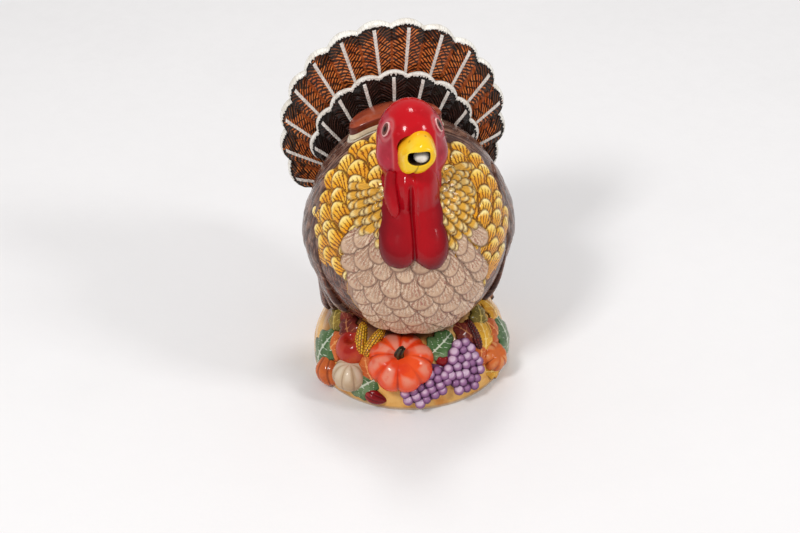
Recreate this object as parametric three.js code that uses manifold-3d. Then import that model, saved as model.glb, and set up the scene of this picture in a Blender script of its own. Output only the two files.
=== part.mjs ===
// Glazed earthenware turkey: a lidded pouring pot that stands on a mound of autumn fruit.
// Millimetres, +Z up. The bird faces -Y. The origin is the middle of the foot ring on the table.
import * as THREE from 'three';
import { mergeVertices } from 'three/addons/utils/BufferGeometryUtils.js';
import Module from 'manifold-3d';

const wasm = await Module();
wasm.setup();

// Gap left in every glued or resting seat
const clearance = 0.3;

// Body pot
const bodyHalfWidth = 53;
const bodyFrontReach = 58;
const bodyBackReach = 50;
const bodyTopRise = 57;
const bodyBottomDrop = 60;
const breastFullness = 0.1;
const bodyHeight = 87;
const bodyWall = 4;

// Mound, as wide as the body, and its foot ring
const moundRadius = bodyHalfWidth;
const moundHeight = 50;
const moundFullness = 2;
const footEdge = 2.5;
const footWidth = 7;
const footRecess = 3;

// Lid over the filling hole in the back
const lidFront = 1;
const lidBack = 27;
const lidHalfWidth = 24;
const lidShift = -5;
const lidCorner = 5;
const lidThickness = 6.5;
const lidLedge = 3.5;
const lidPlay = 0.8;
const lidFlangeDrop = 5;
const lidFlangeWall = 3;

// Head, neck and the pouring way through them
const headHalfWidth = 17;
const headTaper = 0.1;
const headHalfDepth = 19;
const headHalfHeight = 20;
const headShift = -1.5;
const headSetback = 32;
const headRise = 65;
const headTilt = 6;
const neckHalfWidth = 14.5;
const neckHalfDepth = 13;
const neckHalfHeight = 22;
const spoutHalfWidth = 6;
const spoutHalfHeight = 4.2;
const throatRadius = 7;
const eyeHalfHeight = 4;
const eyeHalfWidth = 2.4;
const eyeSink = 1;
const eyeAround = 60;
const eyeLift = 28;

// Beak
const beakHalfWidth = 9.7;
const beakRise = 11;
const beakDrop = 10;
const upperBeakReach = 12.5;
const lowerBeakReach = 10;
const beakRoot = 5;
const beakCrest = 0.15;
const gapeHeight = 4;

// Wattle and snood
const wattleTopRise = 58;
const wattleBottomRise = 8;
const wattleShift = -4;
const wattleSpread = 8.6;
const wattleTopSpread = 5.5;
const wattleTopHalf = 8.4;
const wattleBottomHalf = 10.4;
const wattleThickness = 7.5;
const snoodHalf = 4;
const snoodLength = 27;

// Tail: an outer fan of long feathers with an inner fan of coverts in front
const tailRadius = 59.5;
const tailRise = 38.5;
const tailShift = -2.5;
const tailHubDrop = 4;
const tailSetback = 35.5;
const tailThickness = 5.5;
const tailRelief = 1.8;
const tailScallop = 3;
const tailFlare = 4;
const tailFlareFrom = 60;
const tailFeathers = 14;
const tailFeatherAngle = 18;
const covertRadius = 45.5;
const covertRise = 26.5;
const covertThickness = 3;
const covertRelief = 1.5;
const covertScallop = 2.6;
const covertFeathers = 9;
const covertFeatherAngle = 20.7;
const featherRootReach = 20;

// Wings
const wingShoulderRise = 32;
const wingDrop = 28;
const wingShoulderSetback = -8;
const wingMidSetback = -2;
const wingTipSetback = 4;
const wingHalf = 20;
const wingThickness = 2.8;
const wingTipHeight = 31;
const quillCount = 5;
const quillHalf = 4.4;
const quillThickness = 3.6;
const quillPitch = 6.6;

// Loop handle on the rump
const handleUpperRise = 19;
const handleLowerDrop = 22;
const handleReach = 33;
const handleHalfWidth = 6.5;
const handleHalfThickness = 5;
const handleRoot = 3;

// Fruit on the mound
const pumpkinRadius = 16.5;
const pumpkinLobes = 8;
const pumpkinLean = 28;
const smallPumpkinRadius = 8.5;
const whitePumpkinRadius = 9.2;
const stemHalf = 2;
const stemLength = 5;
const gourdRadius = 8;
const gourdLength = 22;
const squashRadius = 6.5;
const squashLength = 18;
const appleRadius = 8;
const berryRadius = 5;
const berryLength = 12;
const cranberryRadius = 4;
const grapeRadius = 3;
const cornHalf = 3.4;
const cornLength = 17;
const bigLeafHalf = 9;
const bigLeafLength = 21;
const smallLeafHalf = 6.5;
const smallLeafLength = 17;
const huskHalf = 4;
const leafThickness = 1.8;
const nutRadius = 5;
const pumpkinLift = 0;
const fruitLift = -0.3;
const ribDepth = 0.1;
const crownDimple = 0.22;
const pumpkinFlatness = 0.8;
const leafLobe = 0.16;

// Facet counts
const roundColumns = 24;
const roundRows = 13;
const lidSegments = 5;
const headColumns = 20;
const headRows = 11;
const neckColumns = 14;
const neckRows = 7;
const smallColumns = 6;
const smallRows = 4;
const grapeColumns = 5;
const grapeRows = 3;
const fruitColumns = 9;
const fruitRows = 6;

const axisX = new THREE.Vector3(1, 0, 0);
const axisZ = new THREE.Vector3(0, 0, 1);

// Closed surface from columns that wrap and rows that close to a pole at each end
function closedGrid(columns, rows, pointAt) {
  const positions = [];
  const indices = [];
  const lowPole = 0;
  positions.push(...pointAt(0, 0).toArray());
  for (let row = 1; row < rows; row++) {
    for (let column = 0; column < columns; column++) {
      positions.push(...pointAt(column / columns, row / rows).toArray());
    }
  }
  const highPole = positions.length / 3;
  positions.push(...pointAt(0, 1).toArray());
  const ring = (row, column) => 1 + (row - 1) * columns + (column % columns);
  for (let column = 0; column < columns; column++) {
    indices.push(lowPole, ring(1, column + 1), ring(1, column));
    indices.push(highPole, ring(rows - 1, column), ring(rows - 1, column + 1));
    for (let row = 1; row < rows - 1; row++) {
      indices.push(ring(row, column), ring(row, column + 1), ring(row + 1, column + 1));
      indices.push(ring(row, column), ring(row + 1, column + 1), ring(row + 1, column));
    }
  }
  const geometry = new THREE.BufferGeometry();
  geometry.setAttribute('position', new THREE.Float32BufferAttribute(positions, 3));
  geometry.setIndex(indices);
  return geometry;
}

function toSolid(geometry) {
  const bare = geometry.clone();
  bare.deleteAttribute('normal');
  bare.deleteAttribute('uv');
  const merged = mergeVertices(bare);
  const vertProperties = Float32Array.from(merged.attributes.position.array);
  const triVerts = Uint32Array.from(merged.index.array);
  return new wasm.Manifold(new wasm.Mesh({ numProp: 3, vertProperties, triVerts }));
}

// Round form: a unit direction is shaped, turned and set on its centre
function ball({ centre, shape, turn = new THREE.Quaternion(), columns = fruitColumns, rows = fruitRows }) {
  return toSolid(closedGrid(columns, rows, (u, v) => {
    const around = u * 2 * Math.PI;
    const down = Math.PI * (1 - v);
    const side = Math.sin(down);
    const direction = new THREE.Vector3(side * Math.cos(around), side * Math.sin(around), Math.cos(down));
    return shape(direction).applyQuaternion(turn).add(centre);
  }));
}

// Long form: oval sections along a path, closed to a point at each end and crowned towards up
function sweep({ path, width, depth, up, grow = 0, steps = 8, sides = 9, droop = 0, crest = 0 }) {
  return toSolid(closedGrid(sides, steps, (u, v) => {
    const along = (1 - Math.cos(Math.PI * v)) / 2;
    const centre = path.getPoint(along);
    const tangent = path.getTangent(along);
    if (v === 0) return centre.addScaledVector(tangent, -grow);
    if (v === 1) return centre.addScaledVector(tangent, grow);
    const side = new THREE.Vector3().crossVectors(up, tangent).normalize();
    const crown = new THREE.Vector3().crossVectors(tangent, side).normalize();
    const angle = u * 2 * Math.PI;
    const pinch = 1 - crest * Math.max(0, Math.sin(angle));
    const across = (width(along) + grow) * Math.cos(angle) * pinch;
    const rise = (depth(along) + grow) * Math.sin(angle) - droop * across * across;
    return centre.addScaledVector(side, across).addScaledVector(crown, rise);
  }));
}

const curve = (...points) => new THREE.CatmullRomCurve3(points);
const mix = THREE.MathUtils.lerp;
const rounded = (along) => Math.sqrt(Math.max(0, 4 * along * (1 - along)));

// Body pot as an egg of four quarter ellipsoids, grown or shrunk to cut seats and the hollow
const bodyCentre = new THREE.Vector3(0, 0, bodyHeight);
const bodyReachZ = (z) => (z > 0 ? bodyTopRise : bodyBottomDrop);

// The breast is fuller towards its foot
function bodyReachY(y, rise) {
  const low = Math.max(0, -rise / bodyBottomDrop);
  return y < 0 ? bodyFrontReach * (1 + breastFullness * low) : bodyBackReach;
}

function bodyEgg(grow) {
  return ball({
    centre: bodyCentre,
    columns: roundColumns,
    rows: roundRows,
    shape: (n) => new THREE.Vector3(
      n.x * (bodyHalfWidth + grow),
      n.y * (bodyReachY(n.y, n.z * bodyBottomDrop) + grow),
      n.z * (bodyReachZ(n.z) + grow),
    ),
  });
}

const left = (share) => Math.sqrt(Math.max(0, share));

function bodyFrontAt(x, rise) {
  return -bodyReachY(-1, rise) * left(1 - (x / bodyHalfWidth) ** 2 - (rise / bodyReachZ(rise)) ** 2);
}

function bodyBackAt(rise) {
  return bodyBackReach * left(1 - (rise / bodyReachZ(rise)) ** 2);
}

function bodySideAt(y, rise) {
  return bodyHalfWidth * left(1 - (y / bodyReachY(y, rise)) ** 2 - (rise / bodyReachZ(rise)) ** 2);
}

const bodySeat = bodyEgg(clearance);

// Mound: a revolved dome with a foot ring and a hollowed underside
function moundRadiusAt(height) {
  const share = Math.max(0, height - footEdge) / (moundHeight - footEdge);
  return moundRadius * left(1 - share ** moundFullness) ** (2 / moundFullness);
}

function moundDome(grow, recess) {
  const profile = [];
  const footInner = moundRadius - footWidth;
  if (recess > 0) profile.push(new THREE.Vector2(0, recess), new THREE.Vector2(footInner - recess, recess));
  profile.push(new THREE.Vector2(recess > 0 ? footInner : 0, 0));
  profile.push(new THREE.Vector2(moundRadius + grow, 0));
  const domeSteps = 9;
  for (let step = 0; step < domeSteps; step++) {
    const turn = (step / domeSteps) * Math.PI / 2;
    const reach = (moundRadius + grow) * Math.cos(turn) ** (2 / moundFullness);
    const rise = (moundHeight - footEdge + grow) * Math.sin(turn) ** (2 / moundFullness);
    profile.push(new THREE.Vector2(reach, footEdge + rise));
  }
  profile.push(new THREE.Vector2(0, moundHeight + grow));
  const lathe = new THREE.LatheGeometry(profile, roundColumns);
  lathe.rotateX(Math.PI / 2);
  return toSolid(lathe);
}

const moundSeat = moundDome(clearance, 0);

// Height at which the body comes out of the mound, found by halving
function saddleHeight(angle) {
  let low = footEdge;
  let high = moundHeight;
  const halvings = 24;
  for (let pass = 0; pass < halvings; pass++) {
    const height = (low + high) / 2;
    const x = moundRadiusAt(height) * Math.sin(angle);
    const y = -moundRadiusAt(height) * Math.cos(angle);
    const rise = height - bodyHeight;
    const flat = (x / bodyHalfWidth) ** 2 + (y / bodyReachY(y, rise)) ** 2;
    if (flat + (rise / bodyReachZ(rise)) ** 2 > 1) low = height;
    else high = height;
  }
  return low;
}

// Place on the mound, at a share of the way up to the body: Z stands out of the slope, X runs round it
function moundPlace(azimuth, climbShare, spin = 0) {
  const angle = THREE.MathUtils.degToRad(azimuth);
  const height = climbShare * saddleHeight(angle);
  const reach = moundRadiusAt(height);
  const outward = new THREE.Vector3(Math.sin(angle), -Math.cos(angle), 0);
  const share = Math.max(0, height - footEdge) / (moundHeight - footEdge);
  const level = (reach / moundRadius) ** (moundFullness - 1) / moundRadius;
  const steep = share ** (moundFullness - 1) / (moundHeight - footEdge);
  const normal = outward.clone().multiplyScalar(level).addScaledVector(axisZ, steep).normalize();
  const round = new THREE.Vector3(Math.cos(angle), Math.sin(angle), 0);
  const climb = new THREE.Vector3().crossVectors(normal, round);
  const matrix = new THREE.Matrix4().makeBasis(round, climb, normal);
  const turn = new THREE.Quaternion().setFromRotationMatrix(matrix);
  turn.multiply(new THREE.Quaternion().setFromAxisAngle(axisZ, THREE.MathUtils.degToRad(spin)));
  const point = outward.multiplyScalar(reach).setZ(height);
  const at = (x, y, z) => new THREE.Vector3(x, y, z).applyQuaternion(turn).add(point);
  return { point, turn, normal, at };
}

// Filling hole and lid share one outline: straight behind the neck and round towards the tail
function lidPrism(inset) {
  const half = lidHalfWidth - inset;
  const low = lidFront + inset;
  const corner = Math.max(1, lidCorner - inset / 2);
  const deep = lidBack - inset - low - corner;
  const outline = new THREE.Shape();
  outline.moveTo(-half + corner, low);
  outline.lineTo(half - corner, low);
  outline.absarc(half - corner, low + corner, corner, -Math.PI / 2, 0);
  outline.absellipse(0, low + corner, half, deep, 0, Math.PI);
  outline.absarc(-half + corner, low + corner, corner, Math.PI, 1.5 * Math.PI);
  const depth = bodyTopRise + 2 * lidThickness;
  const settings = { depth, bevelEnabled: false, curveSegments: lidSegments };
  const prism = new THREE.ExtrudeGeometry(outline, settings);
  prism.translate(lidShift, 0, bodyHeight);
  return toSolid(prism);
}

// Head stands on the front of the body and looks a little upward
const headCentre = new THREE.Vector3(headShift, headSetback - bodyFrontReach, bodyHeight + headRise);
const headTurn = new THREE.Quaternion().setFromAxisAngle(axisX, -THREE.MathUtils.degToRad(headTilt));
const headUp = axisZ.clone().applyQuaternion(headTurn);

function headPoint(x, ahead, rise) {
  return new THREE.Vector3(x, -ahead, rise).applyQuaternion(headTurn).add(headCentre);
}

function headEgg(grow) {
  return ball({
    centre: headCentre,
    turn: headTurn,
    columns: headColumns,
    rows: headRows,
    shape: (n) => new THREE.Vector3(
      n.x * (headHalfWidth * (1 - headTaper * n.z) + grow),
      n.y * (headHalfDepth + grow),
      n.z * (headHalfHeight + grow),
    ),
  });
}

function neckEgg(grow) {
  const centre = headCentre.clone();
  centre.y -= neckHalfDepth / 2;
  centre.z -= neckHalfHeight;
  return ball({
    centre,
    columns: neckColumns,
    rows: neckRows,
    shape: (n) => new THREE.Vector3(
      n.x * (neckHalfWidth + grow),
      n.y * (neckHalfDepth + grow),
      n.z * (neckHalfHeight + grow),
    ),
  });
}

function neckFrontAt(x, rise) {
  const across = (x - headShift) / neckHalfWidth;
  const up = (rise - headRise) / neckHalfHeight + 1;
  return headCentre.y - neckHalfDepth / 2 - neckHalfDepth * left(1 - across ** 2 - up ** 2);
}

function eyeBulge(side) {
  const around = THREE.MathUtils.degToRad(eyeAround);
  const lift = THREE.MathUtils.degToRad(eyeLift);
  const level = Math.cos(lift);
  const ahead = Math.cos(around) * level;
  const direction = new THREE.Vector3(side * Math.sin(around) * level, -ahead, Math.sin(lift));
  const seat = new THREE.Vector3(
    direction.x * (headHalfWidth * (1 - headTaper * direction.z) - eyeSink),
    direction.y * (headHalfDepth - eyeSink),
    direction.z * (headHalfHeight - eyeSink),
  );
  return ball({
    centre: seat.applyQuaternion(headTurn).add(headCentre),
    turn: headTurn,
    columns: smallColumns,
    rows: smallRows,
    shape: (n) => new THREE.Vector3(n.x * eyeHalfWidth, n.y * eyeHalfWidth, n.z * eyeHalfHeight),
  });
}

// Pouring way: from the hollow of the body up the throat and out of the open beak
function pouringWay() {
  const mouthEnd = headHalfDepth + upperBeakReach + throatRadius;
  const floorDrop = bodyWall + 3 * throatRadius;
  const path = curve(
    new THREE.Vector3(headShift, headCentre.y, bodyHeight + bodyTopRise - floorDrop),
    new THREE.Vector3(headShift, headCentre.y, headCentre.z - headHalfHeight / 2),
    headPoint(0, headHalfDepth / 2, 0),
    headPoint(0, mouthEnd, 0),
  );
  const narrow = (along) => THREE.MathUtils.smoothstep(along, 0.35, 0.75);
  return sweep({
    path,
    up: axisX,
    steps: 10,
    sides: 10,
    width: (along) => mix(throatRadius, spoutHalfHeight, narrow(along)),
    depth: (along) => mix(throatRadius, spoutHalfWidth, narrow(along)),
  });
}

// Beak: one blunt form, parted at the gape into an upper cap and a lower trough
function beakForm(reach, grow) {
  const middle = (beakRise - beakDrop) / 2;
  const path = new THREE.LineCurve3(
    headPoint(0, headHalfDepth - beakRoot, middle),
    headPoint(0, headHalfDepth + reach, middle),
  );
  const blunt = (along) => left(1 - along ** 3);
  return sweep({
    path,
    up: headUp,
    grow,
    crest: beakCrest,
    sides: 14,
    width: (along) => beakHalfWidth * blunt(along),
    depth: (along) => (beakRise + beakDrop) / 2 * blunt(along),
  });
}

// Half space above or below the gape, seen along the beak
function gapeHalf(above) {
  const size = 4 * headHalfHeight;
  const box = new THREE.BoxGeometry(size, size, size);
  const shift = above ? size / 2 + clearance / 2 : -size / 2 - clearance / 2;
  box.translate(0, 0, shift);
  box.applyQuaternion(headTurn);
  const seat = headPoint(0, 0, gapeHeight);
  box.translate(seat.x, seat.y, seat.z);
  return toSolid(box);
}

// Wattle: two lobes that hang from the chin and lie on the neck and the breast
function wattlePath(side) {
  const points = [];
  const stops = 4;
  for (let stop = 0; stop <= stops; stop++) {
    const share = stop / stops;
    const rise = mix(wattleTopRise, wattleBottomRise, share);
    const x = wattleShift + side * mix(wattleTopSpread, wattleSpread, share);
    const seat = Math.min(bodyFrontAt(x, rise), neckFrontAt(x, rise));
    points.push(new THREE.Vector3(x, seat - wattleThickness * mix(0.4, 0.2, share), bodyHeight + rise));
  }
  return curve(...points);
}

function wattleLobe(side, grow) {
  const swell = (along) => rounded(mix(0.12, 1, along)) * mix(wattleTopHalf, wattleBottomHalf, along);
  return sweep({
    path: wattlePath(side),
    up: new THREE.Vector3(0, -1, 0),
    grow,
    width: (along) => swell(along),
    depth: (along) => swell(along) * wattleThickness / wattleBottomHalf,
  });
}

// The lobes are parted in an upright plane between them
function wattleHalf(side) {
  const size = 4 * bodyFrontReach;
  const half = new THREE.BoxGeometry(size, size, size);
  half.translate(wattleShift + side * (size + clearance) / 2, 0, bodyHeight);
  return toSolid(half);
}

function snoodForm(grow) {
  const start = headPoint(-beakHalfWidth - snoodHalf / 2, headHalfDepth * 0.7, -beakDrop / 2);
  const end = start.clone();
  end.x -= snoodHalf / 2;
  end.z -= snoodLength;
  end.y = bodyFrontAt(end.x, end.z - bodyHeight) - wattleThickness;
  const middle = start.clone().lerp(end, 0.5);
  middle.y -= snoodHalf;
  return sweep({
    path: curve(start, middle, end),
    up: new THREE.Vector3(0, -1, 0),
    grow,
    width: (along) => snoodHalf * rounded(mix(0.1, 1, along)),
    depth: (along) => snoodHalf * rounded(mix(0.1, 1, along)),
  });
}

// Fan of feathers: each has a raised shaft, a rounded tip and valleys to its neighbours
function featherFan({ count, spacing, radius, rise, front, thickness, relief, scallop, flare }) {
  const hub = new THREE.Vector3(tailShift, 0, bodyHeight - tailHubDrop);
  const middle = new THREE.Vector3(tailShift, 0, bodyHeight + rise);
  const slices = 4;
  const columns = count * slices;
  const rings = [0, 0.45, 0.85, 1];
  const positions = [];
  const indices = [];
  const pointAt = (column, ring, face) => {
    const across = (column % slices) / slices * 2 - 1;
    const angle = THREE.MathUtils.degToRad((column / slices - count / 2) * spacing);
    const flareFrom = THREE.MathUtils.degToRad(tailFlareFrom);
    const beyond = Math.max(0, Math.abs(angle) / flareFrom - 1);
    const reach = radius + flare * beyond * beyond - scallop * across * across;
    const tip = new THREE.Vector3(Math.sin(angle), 0, Math.cos(angle)).multiplyScalar(reach).add(middle);
    const root = tip.clone().sub(hub).setLength(featherRootReach).add(hub);
    const point = root.lerp(tip, rings[ring]);
    const pillow = relief * (1 - Math.abs(across)) * (ring === rings.length - 1 ? 0.4 : 1);
    point.y = face === 0 ? front - pillow : front + thickness;
    return point;
  };
  const place = (column, ring, face) => (face * (columns + 1) + column) * rings.length + ring;
  for (let face = 0; face < 2; face++) {
    for (let column = 0; column <= columns; column++) {
      rings.forEach((_, ring) => positions.push(...pointAt(column, ring, face).toArray()));
    }
  }
  const quad = (a, b, c, d) => indices.push(a, b, c, a, c, d);
  const last = rings.length - 1;
  for (let column = 0; column < columns; column++) {
    for (let ring = 0; ring < last; ring++) {
      quad(place(column, ring, 0), place(column + 1, ring, 0),
        place(column + 1, ring + 1, 0), place(column, ring + 1, 0));
      quad(place(column, ring, 1), place(column, ring + 1, 1),
        place(column + 1, ring + 1, 1), place(column + 1, ring, 1));
    }
    quad(place(column, last, 0), place(column + 1, last, 0),
      place(column + 1, last, 1), place(column, last, 1));
    quad(place(column, 0, 0), place(column, 0, 1), place(column + 1, 0, 1), place(column + 1, 0, 0));
  }
  for (let ring = 0; ring < last; ring++) {
    quad(place(0, ring, 0), place(0, ring + 1, 0), place(0, ring + 1, 1), place(0, ring, 1));
    quad(place(columns, ring, 0), place(columns, ring, 1),
      place(columns, ring + 1, 1), place(columns, ring + 1, 0));
  }
  const geometry = new THREE.BufferGeometry();
  geometry.setAttribute('position', new THREE.Float32BufferAttribute(positions, 3));
  geometry.setIndex(indices);
  return toSolid(geometry);
}

// Wing: a covert pad on the flank with long quills that droop to the mound
function wingStops(side, shift, tipHeight) {
  const onFlank = (y, rise) => new THREE.Vector3(side * bodySideAt(y, rise), y, bodyHeight + rise);
  const tipY = wingTipSetback + shift;
  const tipReach = moundRadiusAt(tipHeight) + quillThickness / 2;
  return [
    onFlank(wingShoulderSetback, wingShoulderRise),
    onFlank(wingMidSetback + shift / 3, 0),
    onFlank(mix(wingMidSetback, wingTipSetback, 0.6) + shift * 0.8, -wingDrop),
    new THREE.Vector3(side * left(tipReach ** 2 - tipY ** 2), tipY, tipHeight),
  ];
}

function wing(side) {
  const up = new THREE.Vector3(side, 0, 0);
  let form = sweep({
    path: curve(...wingStops(side, 0, wingTipHeight + 2 * quillPitch)),
    up,
    steps: 8,
    sides: 9,
    droop: 1 / (2 * bodyHalfWidth),
    width: (along) => wingHalf * rounded(along ** 0.8),
    depth: (along) => wingThickness * rounded(along) ** 0.5,
  });
  for (let quill = 0; quill < quillCount; quill++) {
    const shift = (quill - (quillCount - 1) / 2) * quillPitch;
    const blunt = (along) => left(1 - (2 * along - 1) ** 8);
    form = form.add(sweep({
      path: curve(...wingStops(side, shift, wingTipHeight).slice(1)),
      up,
      steps: 6,
      sides: 5,
      width: (along) => quillHalf * blunt(along),
      depth: (along) => quillThickness * mix(0.6, 1, along) * blunt(along),
    }));
  }
  return form;
}

// Loop handle behind the tail
function handleForm() {
  const upper = new THREE.Vector3(0, bodyBackAt(handleUpperRise) - handleRoot, bodyHeight + handleUpperRise);
  const lower = new THREE.Vector3(0, bodyBackAt(-handleLowerDrop) - handleRoot, bodyHeight - handleLowerDrop);
  const far = bodyBackReach + handleReach - handleHalfThickness;
  const path = curve(
    upper,
    new THREE.Vector3(0, mix(upper.y, far, 0.55), upper.z + handleHalfThickness),
    new THREE.Vector3(0, far, mix(upper.z, lower.z, 0.3)),
    new THREE.Vector3(0, mix(upper.y, far, 0.8), mix(upper.z, lower.z, 0.75)),
    lower,
  );
  return sweep({
    path,
    up: axisX,
    steps: 14,
    sides: 8,
    width: (along) => handleHalfThickness * mix(1.25, 1, rounded(along)),
    depth: () => handleHalfWidth,
  });
}

// Fruit and leaves, each made on its place on the mound and grown to cut its neighbours
const lean = THREE.MathUtils.degToRad(pumpkinLean);

function ribbedFruit(place, radius, lift) {
  return (grow) => ball({
    centre: place.at(0, 0, radius * lift),
    turn: place.turn.clone().multiply(new THREE.Quaternion().setFromAxisAngle(axisX, -lean)),
    columns: pumpkinLobes * 2,
    rows: fruitRows,
    shape: (n) => {
      const around = Math.atan2(n.y, n.x);
      const rib = 1 - ribDepth * (1 - Math.abs(Math.sin(around * pumpkinLobes / 2)));
      const dimple = 1 - crownDimple * n.z ** 8;
      const lobed = new THREE.Vector3(n.x * rib, n.y * rib, n.z * pumpkinFlatness * dimple);
      return lobed.multiplyScalar(radius + grow);
    },
  });
}

function stemOf(place, radius, lift) {
  const axis = axisZ.clone().applyAxisAngle(axisX, -lean).applyQuaternion(place.turn);
  const crown = radius * pumpkinFlatness * (1 - crownDimple);
  const foot = place.at(0, 0, radius * lift).addScaledVector(axis, crown - stemLength / 4);
  const bend = foot.clone().addScaledVector(axis, stemLength * 0.6);
  const hook = new THREE.Vector3(stemHalf, 0, stemHalf);
  const tip = bend.clone().addScaledVector(axis, stemLength * 0.5).add(hook);
  return (grow) => sweep({
    path: curve(foot, bend, tip),
    up: place.at(1, 0, 0).sub(place.point),
    grow,
    steps: 5,
    sides: 6,
    width: (along) => stemHalf * mix(1.4, 0.8, along),
    depth: (along) => stemHalf * mix(1.4, 0.8, along),
  });
}

function longFruit(place, half, length, profile, lift) {
  const path = curve(
    place.at(0, -length / 2, half * lift),
    place.at(0, 0, half * (lift + 0.2)),
    place.at(0, length / 2, half * lift),
  );
  return (grow) => sweep({
    path,
    up: place.normal,
    grow,
    width: (along) => half * profile(along),
    depth: (along) => half * profile(along),
  });
}

function roundFruit(place, radius) {
  return (grow) => ball({
    centre: place.at(0, 0, radius * fruitLift),
    turn: place.turn,
    shape: (n) => n.clone().multiplyScalar(radius + grow),
  });
}

// Bunch of grapes: staggered rows on a flat heart, highest in the middle
function grapeBunch(place, rows) {
  const pitch = grapeRadius * 1.75;
  const rowPitch = pitch * 0.87;
  const halfRows = (rows.length - 1) / 2 * rowPitch;
  const halfCount = (Math.max(...rows) - 1) / 2 * pitch;
  return (grow) => {
    let bunch = ball({
      centre: place.point,
      turn: place.turn,
      columns: fruitColumns,
      rows: smallRows,
      shape: (n) => new THREE.Vector3(
        n.x * (halfCount + pitch + grow),
        n.y * (halfRows + pitch + grow),
        n.z * (grapeRadius + grow),
      ),
    });
    rows.forEach((count, row) => {
      for (let index = 0; index < count; index++) {
        const x = (index - (count - 1) / 2) * pitch;
        const y = halfRows - row * rowPitch;
        const fromMiddle = (x / (halfCount + pitch)) ** 2 + (y / (halfRows + pitch)) ** 2;
        bunch = bunch.add(ball({
          centre: place.at(x, y, grapeRadius * mix(0.8, 0.2, fromMiddle)),
          columns: grapeColumns,
          rows: grapeRows,
          shape: (n) => n.clone().multiplyScalar(grapeRadius + grow),
        }));
      }
    });
    return bunch;
  };
}

function leafForm(place, half, length) {
  const path = curve(
    place.at(0, -length / 2, -leafThickness / 2),
    place.at(0, 0, leafThickness / 2),
    place.at(0, length / 2, -leafThickness / 2),
  );
  const lobes = (along) => 1 + leafLobe * Math.cos(along * 6 * Math.PI);
  return (grow) => sweep({
    path,
    up: place.normal,
    grow,
    steps: 9,
    sides: 6,
    droop: 1 / (2 * moundRadius),
    width: (along) => half * rounded(along ** 0.75) * lobes(along),
    depth: (along) => leafThickness * rounded(along),
  });
}

const pear = (along) => rounded(along) * mix(1.05, 0.62, THREE.MathUtils.smoothstep(along, 0.4, 0.85));
const cob = (along) => rounded(along) ** 0.6 * mix(1, 0.72, along);
const heart = (along) => rounded(along) * mix(0.62, 1.05, along);

const pumpkinPlace = moundPlace(-14, 0.7);
const bigLeaf = (place) => leafForm(place, bigLeafHalf, bigLeafLength);
const smallLeaf = (place) => leafForm(place, smallLeafHalf, smallLeafLength);
const husk = (place) => leafForm(place, huskHalf, smallLeafLength);
const smallPumpkin = (place) => ribbedFruit(place, smallPumpkinRadius, fruitLift);
const corn = (place) => longFruit(place, cornHalf, cornLength, cob, 0);

// Ordered so that each piece is cut back by the ones before it
const fruit = [
  ['cranberry', roundFruit(moundPlace(14, 0.69), cranberryRadius), 0x8e1c22],
  ['grapes_front', grapeBunch(moundPlace(2, 0.38, 22), [2, 4, 5, 5, 4]), 0x84559a],
  ['grapes_right', grapeBunch(moundPlace(28, 0.51, -8), [2, 3, 4, 4, 4, 3]), 0x84559a],
  ['pumpkin', ribbedFruit(pumpkinPlace, pumpkinRadius, pumpkinLift), 0xe8552a],
  ['pumpkin_stem', stemOf(pumpkinPlace, pumpkinRadius, pumpkinLift), 0x3a2c1c],
  ['leaf_front', smallLeaf(moundPlace(-35, 0.31, 130)), 0x4b7346],
  ['white_pumpkin', ribbedFruit(moundPlace(-46, 0.38), whitePumpkinRadius, fruitLift), 0xc8ae94],
  ['strawberry', longFruit(moundPlace(-28, 0.19, 75), berryRadius, berryLength, heart, -0.1), 0x7c1a20],
  ['red_apple', roundFruit(moundPlace(-55, 0.72), appleRadius), 0xb02822],
  ['leaf_left', bigLeaf(moundPlace(-75, 0.49, 20)), 0x4b7346],
  ['orange_squash', longFruit(moundPlace(-65, 0.24, 15), squashRadius, squashLength, pear, -0.2), 0xdc6a2a],
  ['corn_cob_first', corn(moundPlace(-46, 0.84, 21)), 0xb5622c],
  ['corn_cob_second', corn(moundPlace(-35, 0.86, -18)), 0xb5622c],
  ['leaf_middle', smallLeaf(moundPlace(15, 0.86, -60)), 0x4b7346],
  ['small_pumpkin', smallPumpkin(moundPlace(52, 0.38)), 0xd9762b],
  ['corn_cob_dark', corn(moundPlace(43, 0.78, -10)), 0x6e2320],
  ['corn_husk', husk(moundPlace(57, 0.68, -20)), 0xc9a640],
  ['leaf_right', bigLeaf(moundPlace(69, 0.43, -15)), 0x4b7346],
  ['rear_pumpkin', smallPumpkin(moundPlace(168, 0.49)), 0xd9762b],
  ['rear_gourd', longFruit(moundPlace(135, 0.35, 70), gourdRadius, gourdLength, pear, -0.1), 0xc8ae94],
  ['acorn_left', roundFruit(moundPlace(-128, 0.47), nutRadius), 0x7a4a26],
  ['acorn_right', roundFruit(moundPlace(114, 0.47), nutRadius), 0x7a4a26],
  ['leaf_rear_left', bigLeaf(moundPlace(-158, 0.42, 60)), 0x4b7346],
  ['leaf_rear_right', bigLeaf(moundPlace(148, 0.72, -60)), 0x4b7346],
  ['rear_squash', longFruit(moundPlace(-138, 0.55, -40), squashRadius, squashLength, pear, -0.2), 0xdc6a2a],
];

const turkey = new THREE.Group();

function addPiece(name, solid, color, roughness = 0.2) {
  const { vertProperties, triVerts } = solid.getMesh();
  const geometry = new THREE.BufferGeometry();
  geometry.setAttribute('position', new THREE.Float32BufferAttribute(vertProperties, 3));
  geometry.setIndex(Array.from(triVerts));
  geometry.computeVertexNormals();
  const mesh = new THREE.Mesh(geometry, new THREE.MeshStandardMaterial({ color, roughness, metalness: 0 }));
  mesh.name = name;
  turkey.add(mesh);
}

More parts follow.
